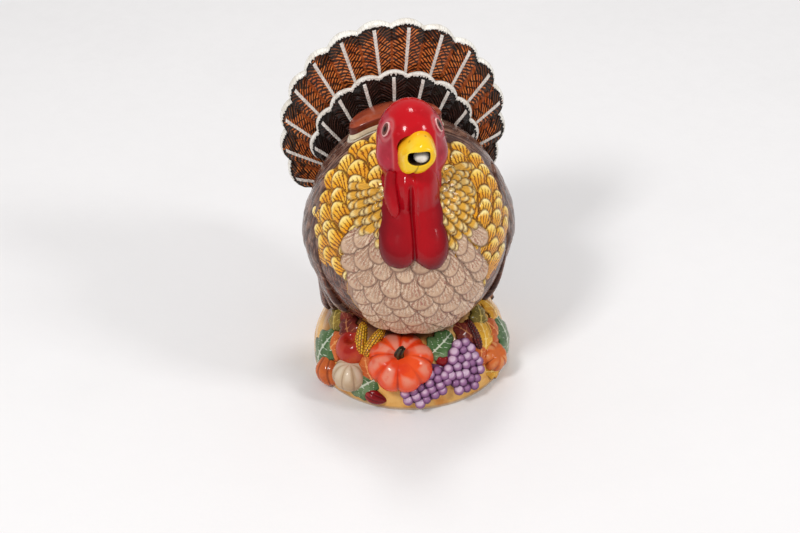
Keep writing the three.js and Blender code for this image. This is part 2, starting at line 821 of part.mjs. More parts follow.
// Body pot with its hollow, filling hole and throat
const throat = pouringWay();
const bodyShell = bodyEgg(0).subtract(bodyEgg(-bodyWall)).subtract(lidPrism(lidLedge)).subtract(throat);
addPiece('body_pot', bodyShell, 0xb9905a);

// Mound with the saddle that the body is set into
addPiece('base_mound', moundDome(0, footRecess).subtract(bodySeat), 0xd09a4c);

// Lid: a cap that follows the back and a flange that drops into the filling hole
const capTop = bodyEgg(clearance + lidThickness);
const cap = lidPrism(0).intersect(capTop).subtract(bodySeat);
const flangeOuter = lidPrism(lidLedge + lidPlay).intersect(bodyEgg(clearance + lidThickness / 2));
const flangeInner = lidPrism(lidLedge + lidPlay + lidFlangeWall).intersect(bodySeat);
const flange = flangeOuter.subtract(flangeInner).subtract(bodyEgg(-bodyWall - lidFlangeDrop));
addPiece('lid', cap.add(flange), 0x8c4530);

// Head with the spout, then the beak, wattle and snood that are set on it
const headBlank = headEgg(0).add(neckEgg(0)).add(eyeBulge(-1)).add(eyeBulge(1));
addPiece('head_spout', headBlank.subtract(bodySeat).subtract(throat), 0xcc1822);
const headSeat = headEgg(clearance).add(neckEgg(clearance));
const upperBeak = beakForm(upperBeakReach, 0).intersect(gapeHalf(true)).subtract(headSeat);
const lowerBeak = beakForm(lowerBeakReach, 0).intersect(gapeHalf(false)).subtract(headSeat);
addPiece('upper_beak', upperBeak, 0xf6c81c);
addPiece('lower_beak', lowerBeak.subtract(throat), 0xf6c81c);
const beakSeat = beakForm(upperBeakReach, clearance);
for (const [name, side] of [['wattle_left', -1], ['wattle_right', 1]]) {
  const lobe = wattleLobe(side, 0).intersect(wattleHalf(side));
  addPiece(name, lobe.subtract(headSeat).subtract(beakSeat).subtract(bodySeat), 0xa81420);
}
const wattleSeat = wattleLobe(-1, clearance).add(wattleLobe(1, clearance));
const snood = snoodForm(0).subtract(headSeat).subtract(beakSeat).subtract(wattleSeat).subtract(bodySeat);
addPiece('snood', snood, 0xb8182a);

// Tail fans, set round the rear shoulder of the body
const outerFan = featherFan({
  count: tailFeathers,
  spacing: tailFeatherAngle,
  radius: tailRadius,
  rise: tailRise,
  front: tailSetback,
  thickness: tailThickness,
  relief: tailRelief,
  scallop: tailScallop,
  flare: tailFlare,
});
addPiece('tail_fan', outerFan.subtract(bodySeat), 0xa85a2c);
const innerFan = featherFan({
  count: covertFeathers,
  spacing: covertFeatherAngle,
  radius: covertRadius,
  rise: covertRise,
  front: tailSetback - tailRelief - clearance - covertThickness,
  thickness: covertThickness,
  relief: covertRelief,
  scallop: covertScallop,
  flare: 0,
});
addPiece('tail_coverts', innerFan.subtract(bodySeat), 0x3a2822);

addPiece('left_wing', wing(-1).subtract(bodySeat).subtract(moundSeat), 0x6e4a3a);
addPiece('right_wing', wing(1).subtract(bodySeat).subtract(moundSeat), 0x6e4a3a);
addPiece('rear_handle', handleForm().subtract(bodySeat), 0x6e4a3a);

// The fruit is trimmed level with the foot ring, so that only the ring stands on the table
const table = new THREE.BoxGeometry(4 * moundRadius, 4 * moundRadius, moundRadius);
table.translate(0, 0, clearance - moundRadius / 2);
let taken = bodySeat.add(moundSeat).add(toSolid(table));
for (const [name, make, color] of fruit) {
  addPiece(name, make(0).subtract(taken), color);
  taken = taken.add(make(clearance).hull());
}

export default turkey;
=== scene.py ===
import math

import bpy
import numpy as np
from mathutils import Matrix, Vector


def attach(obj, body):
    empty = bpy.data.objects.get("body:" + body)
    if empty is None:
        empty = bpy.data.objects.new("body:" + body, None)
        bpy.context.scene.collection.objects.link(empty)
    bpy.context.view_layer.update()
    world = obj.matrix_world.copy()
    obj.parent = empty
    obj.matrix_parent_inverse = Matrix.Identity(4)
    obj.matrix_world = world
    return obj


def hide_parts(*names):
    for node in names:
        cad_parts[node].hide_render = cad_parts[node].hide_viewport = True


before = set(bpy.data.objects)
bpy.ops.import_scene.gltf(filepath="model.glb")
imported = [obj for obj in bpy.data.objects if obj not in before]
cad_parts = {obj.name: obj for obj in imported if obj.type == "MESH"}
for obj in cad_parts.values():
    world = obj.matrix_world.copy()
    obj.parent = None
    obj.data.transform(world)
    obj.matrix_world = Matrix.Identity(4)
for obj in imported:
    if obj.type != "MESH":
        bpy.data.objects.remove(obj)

# Glazed earthenware turkey pot. Sizes are in millimetres and become metres where a mesh is made.
MM = 0.001
VESSEL = "vessel"
LID = "lid"
FULL_TURN = 2 * math.pi
QUARTER_TURN = math.pi / 2
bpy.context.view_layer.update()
random = np.random.default_rng(11)

# Body egg
BODY_CENTRE = np.array([0.0, 0.0, 87.0])
BODY_HALF_WIDTH = 53.0
BODY_FRONT = 58.0
BODY_BACK = 50.0
BODY_TOP = 57.0
BODY_BOTTOM = 60.0
BREAST_FULLNESS = 0.1
BODY_WALL = 4.0

# Lid and filling hole
LID_FRONT = 1.0
LID_BACK = 27.0
LID_HALF_WIDTH = 24.0
LID_CORNER = 5.0
LID_THICKNESS = 6.5
LID_ROUND = 1.8
LID_CREAM_TOP = 2.9
LID_LEDGE = 3.5
LID_PLAY = 0.8
LID_FLANGE_WALL = 3.0
LID_FLANGE_DROP = 5.0
SEAT_GAP = 0.3
HOLE_X = -5.0
HOLE_Y = 13.0

# Head and beak, measured from the head's centre along its tilted axes
HEAD_CENTRE = np.array([-1.5, -26.0, 152.0])
HEAD_HEART = HEAD_CENTRE + np.array([0.0, -4.0, -8.0])
HEAD_HALF = np.array([17.0, 19.0, 20.0])
HEAD_TAPER = 0.03
HEAD_TILT = math.radians(6)
CHEEK_CENTRE = np.array([9.5, 4.0, -7.0])
CHEEK_HALF = np.array([8.2, 9.5, 9.5])
MASK_EDGE = 10.6
NECK_CENTRE = HEAD_CENTRE + np.array([0, -6.5, -22.0])
NECK_HALF = np.array([14.5, 13.0, 22.0])
EYE_AROUND = math.radians(60)
EYE_LIFT = math.radians(28)
EYE_HALF_HEIGHT = 4.0
EYE_HALF_WIDTH = 2.6
BEAK_START = 11.0
BEAK_MIDDLE = np.array([0.6, 0.5])
BEAK_HALF = np.array([9.4, 10.0])
MOUTH_MIDDLE = np.array([0.2, 2.4])
MOUTH_HALF_WIDTH = 5.4
MOUTH_RISE = 3.7
MOUTH_DROP = 3.9
LIP = 1.2
LIP_AHEAD = 29.4
NOSTRIL_AHEAD = 21.0

# Wattle in the plane of the breast, and the snood beside it
WATTLE_MIDDLE = np.array([-4.0, 118.0])
WATTLE_GROOVE = -4.6
WATTLE_TOP = 150.0
WATTLE_DROP = 56.0
WATTLE_OUTLINE = np.array([
    (-15.8, 137), (-17.2, 127), (-19, 118), (-21.3, 109), (-21, 101), (-18.8, 97), (-13.5, 95.3),
    (-7.8, 96.4), (-4.5, 99.5), (-1.5, 96.8), (3.5, 93.8), (8.6, 94.5), (12.5, 100), (13.3, 107),
    (11.1, 115), (10.6, 125), (9.9, 136), (5, 146), (-3, 149), (-11, 145)])
SNOOD_STOPS = [(-12.8, -39.5, 142), (-13.8, -44.0, 131.5), (-12.2, -48.4, 120)]

# Tail fans
TAIL_SHIFT = -2.5
TAIL_HUB = np.array([TAIL_SHIFT, 83.0])
TAIL_FRONT = 35.5
TAIL_THICKNESS = 5.5
COVERT_FRONT = 30.4
COVERT_THICKNESS = 3.0
FEATHER_ROOT = 20.0
FEATHER_EDGE_ROUND = 1.2

# Wings and handle
WING_TIP = 31.0
WING_PITCH = 6.6
WING_QUILLS = 7
WING_HALF = 20.0
QUILL_STEP = 4.0
QUILL_HALF = 5.3
HANDLE_TOP = 19.0
HANDLE_BOTTOM = 22.0
HANDLE_REACH = 28.0
HANDLE_SINK = 3.0

# Mound
MOUND_RADIUS = 53.0
MOUND_HEIGHT = 50.0
FOOT_EDGE = 2.5
FOOT_WIDTH = 7.0
FOOT_RECESS = 3.0


def smooth(value, low, high):
    share = np.clip((value - low) / (high - low), 0, 1)
    return share * share * (3 - 2 * share)


def lerp(first, second, share):
    return first + (second - first) * share


def unit(vectors):
    return vectors / np.maximum(np.linalg.norm(vectors, axis=-1, keepdims=True), 1e-9)


def oval(along):
    """Half width of a form that is round at both ends"""
    return np.sqrt(np.clip(4 * along * (1 - along), 0, None))


def hump(value, middle, width):
    return np.exp(-((value - middle) / width) ** 2)


def melt(forms, tight):
    """The least of several distances, rounded where they meet"""
    return -np.log(sum(np.exp(-tight * form) for form in forms)) / tight


def circle(columns, start=0.0):
    return np.linspace(start, start + FULL_TURN, columns, endpoint=False)


def radius_round(x, y, angles):
    """Radius of a closed outline at the angles"""
    around = np.arctan2(y, x)
    order = np.argsort(around)
    return np.interp(angles, around[order], np.hypot(x, y)[order], period=FULL_TURN)


def turn_x(angle):
    return np.array(Matrix.Rotation(angle, 3, "X"))


def turn_z(angle):
    return np.array(Matrix.Rotation(angle, 3, "Z"))


# Closed grids: rows run from pole to pole and columns wrap

def skin(points, **masks):
    return {"points": points, "masks": masks}


def swell(points, relief):
    """Moves a closed grid along its own normals"""
    down = np.gradient(points, axis=0)
    around = np.roll(points, -1, axis=1) - np.roll(points, 1, axis=1)
    normals = unit(np.cross(around, down))
    outward = np.sign(np.sum(normals * (points - points.mean((0, 1)))))
    return points + normals * (outward * relief)[..., None]


def grid_faces(rows, columns, start):
    ring = start + 1 + np.arange((rows - 2) * columns).reshape(rows - 2, columns)
    after = np.roll(ring, -1, axis=1)
    quads = np.stack([ring[:-1], after[:-1], after[1:], ring[1:]], -1).reshape(-1, 4)
    low = np.full(columns, start)
    high = np.full(columns, start + 1 + (rows - 2) * columns)
    caps = [np.stack([low, after[0], ring[0]], -1), np.stack([ring[-1], after[-1], high], -1)]
    return quads, np.concatenate(caps)


def grid_values(values):
    return np.concatenate([values[0, :1], values[1:-1].reshape(-1, *values.shape[2:]), values[-1, :1]])


def add_to_scene(name, data):
    made = bpy.data.objects.new(name, data)
    bpy.context.scene.collection.objects.link(made)
    return made


def piece(name, skins, material, nodes=(), body=VESSEL):
    """Joins one or more closed grids into an object that rides on a body and stands for CAD nodes"""
    skins = [skins] if isinstance(skins, dict) else skins
    vertices, quads, caps = [], [], []
    masks = {key: [] for key in skins[0]["masks"]}
    start = 0
    for part in skins:
        rows, columns = part["points"].shape[:2]
        points = grid_values(part["points"])
        part_quads, part_caps = grid_faces(rows, columns, start)
        first, second, third = (points[part_quads[:, corner] - start] - points.mean(0) for corner in range(3))
        if np.sum(first * np.cross(second, third)) < 0:
            part_quads, part_caps = part_quads[:, ::-1], part_caps[:, ::-1]
        vertices.append(points)
        quads.append(part_quads)
        caps.append(part_caps)
        for key in masks:
            masks[key].append(grid_values(np.broadcast_to(part["masks"][key], (rows, columns))))
        start += len(points)
    mesh = bpy.data.meshes.new(name)
    faces = np.concatenate(quads).tolist() + np.concatenate(caps).tolist()
    mesh.from_pydata((np.concatenate(vertices) * MM).tolist(), [], faces)
    for key, values in masks.items():
        layer = mesh.attributes.new(key, "FLOAT", "POINT")
        layer.data.foreach_set("value", np.concatenate(values).astype(np.float32))
    mesh.shade_smooth()
    mesh.materials.append(material)
    made = add_to_scene(name, mesh)
    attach(made, body)
    if nodes:
        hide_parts(*nodes)


def directions(rows, columns):
    """Unit directions from the low pole to the high one"""
    down = np.linspace(math.pi, 0, rows)[:, None]
    around = circle(columns)[None]
    flat = np.sin(down)
    return np.stack([flat * np.cos(around), flat * np.sin(around), np.cos(down) + 0 * around], -1)


def round_axis(way):
    """Distance from the axis of a ball and angle round it"""
    return np.hypot(way[..., 0], way[..., 1]), np.arctan2(way[..., 1], way[..., 0])


def spline(stops, share):
    """Smooth curve through the stops"""
    stops = np.asarray(stops, float)
    spans = len(stops) - 1
    padded = np.concatenate([[2 * stops[0] - stops[1]], stops, [2 * stops[-1] - stops[-2]]])
    place = np.clip(share * spans, 0, spans - 1e-9)
    span = place.astype(int)
    t = (place - span)[:, None]
    before, start, end, beyond = (padded[span + step] for step in range(4))
    return 0.5 * (2 * start + (end - before) * t + (2 * before - 5 * start + 4 * end - beyond) * t ** 2
                  + (3 * start - before - 3 * end + beyond) * t ** 3)


def sweep(stops, width, depth, up, rows, columns, droop=0.0):
    """Oval sections along a curve, closed to a point at each end: points, share along and angle round"""
    along = (1 - np.cos(np.linspace(0, math.pi, rows))) / 2
    path = spline(stops, along)
    tangent = unit(np.gradient(path, axis=0))
    side = unit(np.cross(up, tangent))
    crown = unit(np.cross(tangent, side))
    angle = circle(columns)[None]
    closing = np.ones(rows)
    closing[[0, -1]] = 0
    across = (width(along) * closing)[:, None] * np.cos(angle)
    rise = (depth(along) * closing)[:, None] * np.sin(angle) - droop * across ** 2
    points = path[:, None] + across[..., None] * side[:, None] + rise[..., None] * crown[:, None]
    return points, np.broadcast_to(along[:, None], across.shape), np.broadcast_to(angle, across.shape)


# Paint: each glaze wires masks and noise into a glossy shader

GLAZE_SPECULAR = 0.12
GLAZE_COAT = 0.24
GLAZE_COAT_ROUGHNESS = 0.05
GLAZE_RIPPLE = 0.00012
HATCH_GRAIN = (640.0, 140.0)
BAR_GRAIN = (110.0, 750.0)


def paint(red, green, blue):
    """A colour given as 0 to 255, as the shader wants it"""
    share = np.array([red, green, blue]) / 255
    linear = np.where(share <= 0.04045, share / 12.92, ((share + 0.055) / 1.055) ** 2.4)
    return (*linear.tolist(), 1.0)


class Glaze:
    """A mask is given by its name and a paint by three numbers, wherever a value is wanted"""

    def __init__(self, name, roughness=0.2):
        self.material = bpy.data.materials.new(name)
        self.material.use_nodes = True
        self.tree = self.material.node_tree
        self.shader = self.tree.nodes["Principled BSDF"]
        self.shader.inputs["Specular IOR Level"].default_value = GLAZE_SPECULAR
        self.shader.inputs["Coat Weight"].default_value = GLAZE_COAT
        self.shader.inputs["Coat Roughness"].default_value = GLAZE_COAT_ROUGHNESS
        self.place = self.node("ShaderNodeTexCoord", {}, "Object")
        self.link(self.span(self.noise(90), 0.3, 0.75, roughness * 0.75, roughness * 1.5), "Roughness")
        self.heights = [(self.noise(160, 2), GLAZE_RIPPLE)]
        self.color = None

    def read(self, value):
        if isinstance(value, str):
            return self.node("ShaderNodeAttribute", {}, "Fac", attribute_name=value)
        return paint(*value) if isinstance(value, tuple) else value

    def node(self, kind, inputs, output=0, **settings):
        made = self.tree.nodes.new(kind)
        for key, value in settings.items():
            setattr(made, key, value)
        for socket, value in inputs.items():
            value = self.read(value)
            if isinstance(value, bpy.types.NodeSocket):
                self.tree.links.new(value, made.inputs[socket])
            else:
                made.inputs[socket].default_value = value
        return made.outputs[output]

    def link(self, output, socket):
        self.tree.links.new(output, self.shader.inputs[socket])

    def noise(self, scale, detail=3.0, distortion=0.0, vector=None):
        inputs = {"Vector": vector or self.place, "Scale": scale, "Detail": detail, "Distortion": distortion}
        return self.node("ShaderNodeTexNoise", inputs)

    def grain(self, across, along, scale_across, scale_along, detail=3.0):
        """Noise that is drawn out along a feather"""
        inputs = {"X": self.times(across, scale_across), "Y": self.times(along, scale_along)}
        return self.noise(1.0, detail, 0.0, self.node("ShaderNodeCombineXYZ", inputs))

    def math(self, operation, first, second=0.0):
        return self.node("ShaderNodeMath", {0: first, 1: second}, operation=operation)

    def plus(self, value, other, share):
        return self.math("ADD", value, self.times(other, share))

    def sum(self, value, other, share):
        """Adds a share of another value, counted from its middle"""
        return self.plus(value, self.math("SUBTRACT", other, 0.5), share)

    def span(self, value, low, high, to_low=0.0, to_high=1.0):
        inputs = {"Value": value, "From Min": low, "From Max": high, "To Min": to_low, "To Max": to_high}
        return self.node("ShaderNodeMapRange", inputs, interpolation_type="SMOOTHSTEP")

    def times(self, first, *others):
        for other in others:
            first = self.math("MULTIPLY", first, other)
        return first

    def stripes(self, value, count, sharp):
        """Soft stripes from 0 to 1, count to a unit"""
        return self.span(self.math("SINE", self.times(value, count * FULL_TURN)), sharp, 1.0)

    def mix(self, share, first, second):
        return self.node("ShaderNodeMix", {0: share, 6: first, 7: second}, 2, data_type="RGBA")

    def lay(self, color, tint, *shares):
        """Lays a paint over a colour, by the product of the shares"""
        return self.mix(self.times(*shares), color, tint)

    def coat(self, tint, *shares):
        """Lays a paint over the glaze as it is so far"""
        self.color = self.lay(self.color, tint, *shares)

    def ramp(self, share, *stops):
        color = self.node("ShaderNodeValToRGB", {0: share})
        elements = color.node.color_ramp.elements
        while len(elements) < len(stops):
            elements.new(0.5)
        for element, (position, tint) in zip(elements, stops):
            element.position = position
            element.color = paint(*tint)
        return color

    def dappled(self, color, other, scale=120, low=0.4, high=0.7, share=1.0):
        """Brushy patches of another colour"""
        return self.lay(color, other, self.span(self.noise(scale, 4, 0.4), low, high), share)

    def raise_by(self, value, depth):
        self.heights.append((value, depth))

    def done(self):
        self.link(self.color, "Base Color")
        normal = None
        for height, depth in self.heights:
            inputs = {"Height": height, "Distance": depth, "Strength": 1.0}
            if normal:
                inputs["Normal"] = normal
            normal = self.node("ShaderNodeBump", inputs)
        self.link(normal, "Normal")
        return self.material


def flank_strokes(g, brush):
    """Hatched grey-brown paint, the hatching alone, noise drawn out across it, and the height"""
    across, height = (g.node("ShaderNodeSeparateXYZ", {0: g.place}, axis) for axis in "YZ")
    hatch = g.span(g.grain(across, height, *HATCH_GRAIN), 0.43, 0.57)
    grey = g.mix(g.span(brush, 0.35, 0.7), (112, 76, 62), (148, 112, 94))
    return g.lay(grey, (58, 32, 28), hatch, 0.85), hatch, g.grain(across, height, *BAR_GRAIN), height


# Body: an egg with rows of scales, the filling hole and the hollow

def body_tall(rise):
    return np.where(rise > 0, BODY_TOP, BODY_BOTTOM)


def body_depth(rise):
    """Reach of the breast, fuller below the middle; the rise is a share of the half height"""
    return BODY_FRONT * (1 + BREAST_FULLNESS * np.maximum(0, -rise))


def body_front(x, rise):
    tall = body_tall(rise)
    inside = np.clip(1 - (x / BODY_HALF_WIDTH) ** 2 - (rise / tall) ** 2, 0, 1)
    return -body_depth(rise / tall) * np.sqrt(inside)


def egg_reach(way):
    deep = np.where(way[..., 1] < 0, body_depth(way[..., 2]), BODY_BACK)
    return np.stack([np.full(deep.shape, BODY_HALF_WIDTH), deep, body_tall(way[..., 2])], -1)


def egg(way, grow=0.0):
    return BODY_CENTRE + way * (egg_reach(way) + np.asarray(grow)[..., None])


def egg_way(x, y, grow=0.0):
    """Direction of the point on the egg's top over a place in plan"""
    flat_x = x / (BODY_HALF_WIDTH + grow)
    flat_y = y / (np.where(y < 0, BODY_FRONT, BODY_BACK) + grow)
    return np.stack([flat_x, flat_y, np.sqrt(np.clip(1 - flat_x ** 2 - flat_y ** 2, 0, 1))], -1)


def lid_outline(inset, angles):
    """Plan of the lid: straight behind the neck and round towards the tail"""
    half = LID_HALF_WIDTH - inset
    low = LID_FRONT + inset
    corner = max(1.0, LID_CORNER - inset / 2)
    deep = LID_BACK - inset - low - corner
    quarter = np.linspace(0, QUARTER_TURN, 40)
    half_turn = np.linspace(0, math.pi, 200)
    front = np.linspace(-1, 1, 200)
    x = np.concatenate([front * (half - corner), half - corner + corner * np.sin(quarter),
                        half * np.cos(half_turn), -half + corner - corner * np.cos(quarter)])
    y = np.concatenate([0 * front + low, low + corner - corner * np.cos(quarter),
                        low + corner + deep * np.sin(half_turn), low + corner - corner * np.sin(quarter)])
    radius = radius_round(x, y - HOLE_Y, angles)
    return HOLE_X + radius * np.cos(angles), HOLE_Y + radius * np.sin(angles)


# Zones of the breast, by the middle of a scale

ARC_RADIUS = 58.0
NECK_POLE = np.array([-2.5, -40.0, 130.0])
GOLD_POLES = (np.array([2.0, -56.0, 80.0]), np.array([12.0, -54.0, 56.0]))
PINK_FROM, PINK_TO = -37.2, 30.6
PINK_TOP, PINK_GROUND_TOP = 103.5, 97
BEADS_FROM, BEADS_TO = -31.0, 27.5
BEADS_TOP_LEFT, BEADS_TOP_RIGHT = 128, 133
GOLD_BOTTOM_LEFT, GOLD_BOTTOM_RIGHT = 76.0, 68.0
GOLD_GROUND_BOTTOM = 84
GOLD_PITCH, GOLD_WIDTH = 7.0, 13.0
PINK_PITCH, PINK_WIDTH = 7.9, 12.6
BEADS_START, BEADS_END = 11.0, 46
GREY, GOLD, BEAD, PINK = 0.0, 1.0, 2.0, 3.0


def in_front(x, y, z):
    """True on the painted breast and false on the brown flanks"""
    left = np.interp(z, (45, 62, 77, 86, 110, 134), (-43, -41, -39, -20, -11, -5))
    right = np.interp(z, (45, 60, 71, 84, 96, 110, 133), (-40, -46, -46, -33, -25, -18, -12))
    return y < np.where(x < 0, left, right)


def is_pink(x, y, z):
    top = PINK_TOP + 0.5 * np.maximum(0, np.abs(x) - 14)
    return in_front(x, y, z) & (x > PINK_FROM) & (x < PINK_TO) & (z < top)


def is_bead(x, y, z):
    top = np.where(x < 0, BEADS_TOP_LEFT, BEADS_TOP_RIGHT)
    return in_front(x, y, z) & (x > BEADS_FROM) & (x < BEADS_TO) & ~is_pink(x, y, z) & (z < top)


def is_gold(x, y, z):
    lowest = np.where(x < 0, GOLD_BOTTOM_LEFT, GOLD_BOTTOM_RIGHT)
    inward = 9 + 0.7 * np.maximum(0, z - 112)
    return in_front(x, y, z) & ((x < BEADS_FROM + inward) | (x > BEADS_TO - inward)) & (z > lowest)


def polar(points, pole):
    """Arc from a pole on the body and the angle round it, 0 downwards"""
    out = unit(pole - BODY_CENTRE)
    down = unit(out * out[2] - np.array([0, 0, 1.0]))
    away = points - pole
    chord = np.clip(np.linalg.norm(away, axis=-1) / (2 * ARC_RADIUS), 0, 0.99)
    return 2 * ARC_RADIUS * np.arcsin(chord), np.arctan2(away @ np.cross(out, down), away @ down)


def lay_scales(points, made, pole, rings, wanted, zone, lift, loose):
    """Rows of scales that run away from a pole, the inner rows over the outer ones"""
    arc, angle = polar(points, pole)
    arc = arc + 0.7 * np.sin(angle * 7 + arc * 0.2) + 0.5 * np.sin(angle * 17 - arc * 0.3)
    for number in range(len(rings) - 1, -1, -1):
        tip, pitch, width = rings[number]
        count = max(8, round(FULL_TURN * ARC_RADIUS * math.sin(tip / ARC_RADIUS) / width))
        cell = angle / FULL_TURN * count + 0.5 * (number % 2) + 0.17 * number
        index = np.floor(cell).astype(int) % count
        shift = random.uniform(-0.5, 0.5, (3, count))
        across = (2 * (cell - np.floor(cell)) - 1 + 0.3 * shift[0][index]) * (1 + 0.25 * shift[2][index])
        reach = (arc - tip + 2 * pitch) / (2 * pitch) - loose * shift[1][index]
        edge = 1 - np.hypot(across, np.clip((reach - 0.45) / 0.55, 0, None))
        inside = (edge > 0) & (reach > 0)
        size = np.maximum(1, np.bincount(index[inside], minlength=count))
        middle = [np.bincount(index[inside], points[inside][:, axis], count) / size for axis in range(3)]
        kept = (wanted(*middle) & (size > 8))[index]
        # Points just outside an overlapping scale's edge take painted shadow, as if cast by that scale
        near = (edge > -0.14) & (reach > 0.3) & ~inside & kept
        tip_shadow = np.maximum(made["crease"], smooth(edge, -0.14, -0.02))
        made["crease"] = np.where(near, tip_shadow, made["crease"])
        slope = smooth(reach, 0.25, 1.0)
        outline = 0.42 if zone == BEAD else 0.12
        bulge = np.sqrt(np.clip(edge, 0, 1)) if zone == BEAD else smooth(edge, 0.0, 0.2) * slope
        # Inside each scale the crease is its dark outline, partly drawn line and partly painted shade
        values = {"height": lift * (0.15 + 0.35 * slope + 0.5 * bulge),
                  "crease": 0.9 * (1 - smooth(edge, 0.0, outline)), "fan": np.arctan2(across, 0.35 + reach),
                  "tip": smooth(reach, 0.5, 1.0), "tone": shift[2][index], "zone": np.full(arc.shape, zone)}
        for key, value in values.items():
            made[key] = np.where(inside & kept, value, made[key])


def scales(points):
    """Height and masks of the plumage"""
    made = {key: np.zeros(points.shape[:2]) for key in ("height", "crease", "fan", "tip", "tone", "zone")}
    place = np.moveaxis(points, -1, 0)
    pink = is_pink(*place) & (points[..., 2] < PINK_GROUND_TOP)
    gold = in_front(*place) & (points[..., 2] > GOLD_GROUND_BOTTOM)
    made["zone"] = np.where(gold, GOLD, GREY)
    # Bare gold ground between scales starts with the dark crease paint, as painted shade of the gaps
    made["crease"] = np.where(gold, 0.8, 0.0)
    rings = [(tip, GOLD_PITCH, GOLD_WIDTH) for tip in np.arange(18, 124, GOLD_PITCH)]
    for pole, side in zip(GOLD_POLES, (-1, 1)):
        lay_scales(points, made, pole, rings, lambda x, y, z: is_gold(x, y, z) & (x * side > 0),
                   GOLD, lift=1.1, loose=0.2)
    # Bare pink ground between scales also takes the dark crease paint, as painted shade of the gaps
    for key, value in (("zone", PINK), ("crease", 0.8), ("height", 0.1)):
        made[key] = np.where(pink, value, made[key])
    rings = [(tip, PINK_PITCH, PINK_WIDTH) for tip in np.arange(27, 130, PINK_PITCH)]
    lay_scales(points, made, NECK_POLE, rings, is_pink, PINK, lift=0.85, loose=0.14)
    rings = []
    tip = BEADS_START
    while tip < BEADS_END:
        pitch = lerp(2.7, 4.3, tip / BEADS_END)
        rings.append((tip, pitch, lerp(3.6, 5.8, tip / BEADS_END)))
        tip += pitch
    lay_scales(points, made, NECK_POLE, rings, is_bead, BEAD, lift=1.25, loose=0.4)
    return made


def body_skin():
    columns, outer_rows, hidden_rows, inner_rows = 372, 214, 8, 22
    crowding, seen_share = 0.45, 0.86
    turn = np.arange(columns) / columns
    angles = -QUARTER_TURN + FULL_TURN * (turn - crowding * np.sin(FULL_TURN * turn) / FULL_TURN)
    hole_x, hole_y = lid_outline(LID_LEDGE, angles)
    pole = egg_way(np.array(HOLE_X), np.array(HOLE_Y))
    sideways = unit(np.array([1.0, 0, 0]) - pole * pole[0])
    rearward = np.cross(pole, sideways)

    def fan_out(ways, shares):
        start = np.arccos(np.clip(ways @ pole, -1, 1))
        heading = np.arctan2(ways @ rearward, ways @ sideways)
        tilt = lerp(start[None], math.pi, shares[:, None])
        level = np.cos(heading)[None, :, None] * sideways + np.sin(heading)[None, :, None] * rearward
        return np.cos(tilt)[..., None] * pole + np.sin(tilt)[..., None] * level

    shares = np.concatenate([np.linspace(0, seen_share, outer_rows),
                             np.linspace(seen_share, 1, hidden_rows + 1)[1:]])
    ways = fan_out(egg_way(hole_x, hole_y), shares)
    bare = egg(ways)
    masks = scales(bare)
    from_x, from_y = bare[..., 0] - HOLE_X, bare[..., 1] - HOLE_Y
    cap_x, cap_y = lid_outline(0.0, np.arctan2(from_y, from_x))
    beyond = np.hypot(from_x, from_y) - np.hypot(cap_x - HOLE_X, cap_y - HOLE_Y)
    beyond = np.where(bare[..., 2] > BODY_CENTRE[2], beyond, 99.0)
    height = masks.pop("height") * smooth(beyond, 0.5, 2.2)
    masks["collar"] = 1 - smooth(beyond, 0.7, 1.2)
    outer = bare + unit(ways / egg_reach(ways)) * (height - 0.15)[..., None]
    hollow = fan_out(egg_way(hole_x, hole_y, -BODY_WALL), np.linspace(1, 0, inner_rows))
    inner = egg(hollow, -BODY_WALL)
    inside = np.concatenate([np.ones(inner.shape[:2]), np.zeros(outer.shape[:2])])
    padded = {key: np.concatenate([np.zeros(inner.shape[:2]), value]) for key, value in masks.items()}
    return skin(np.concatenate([inner, outer]), inside=inside, **padded)


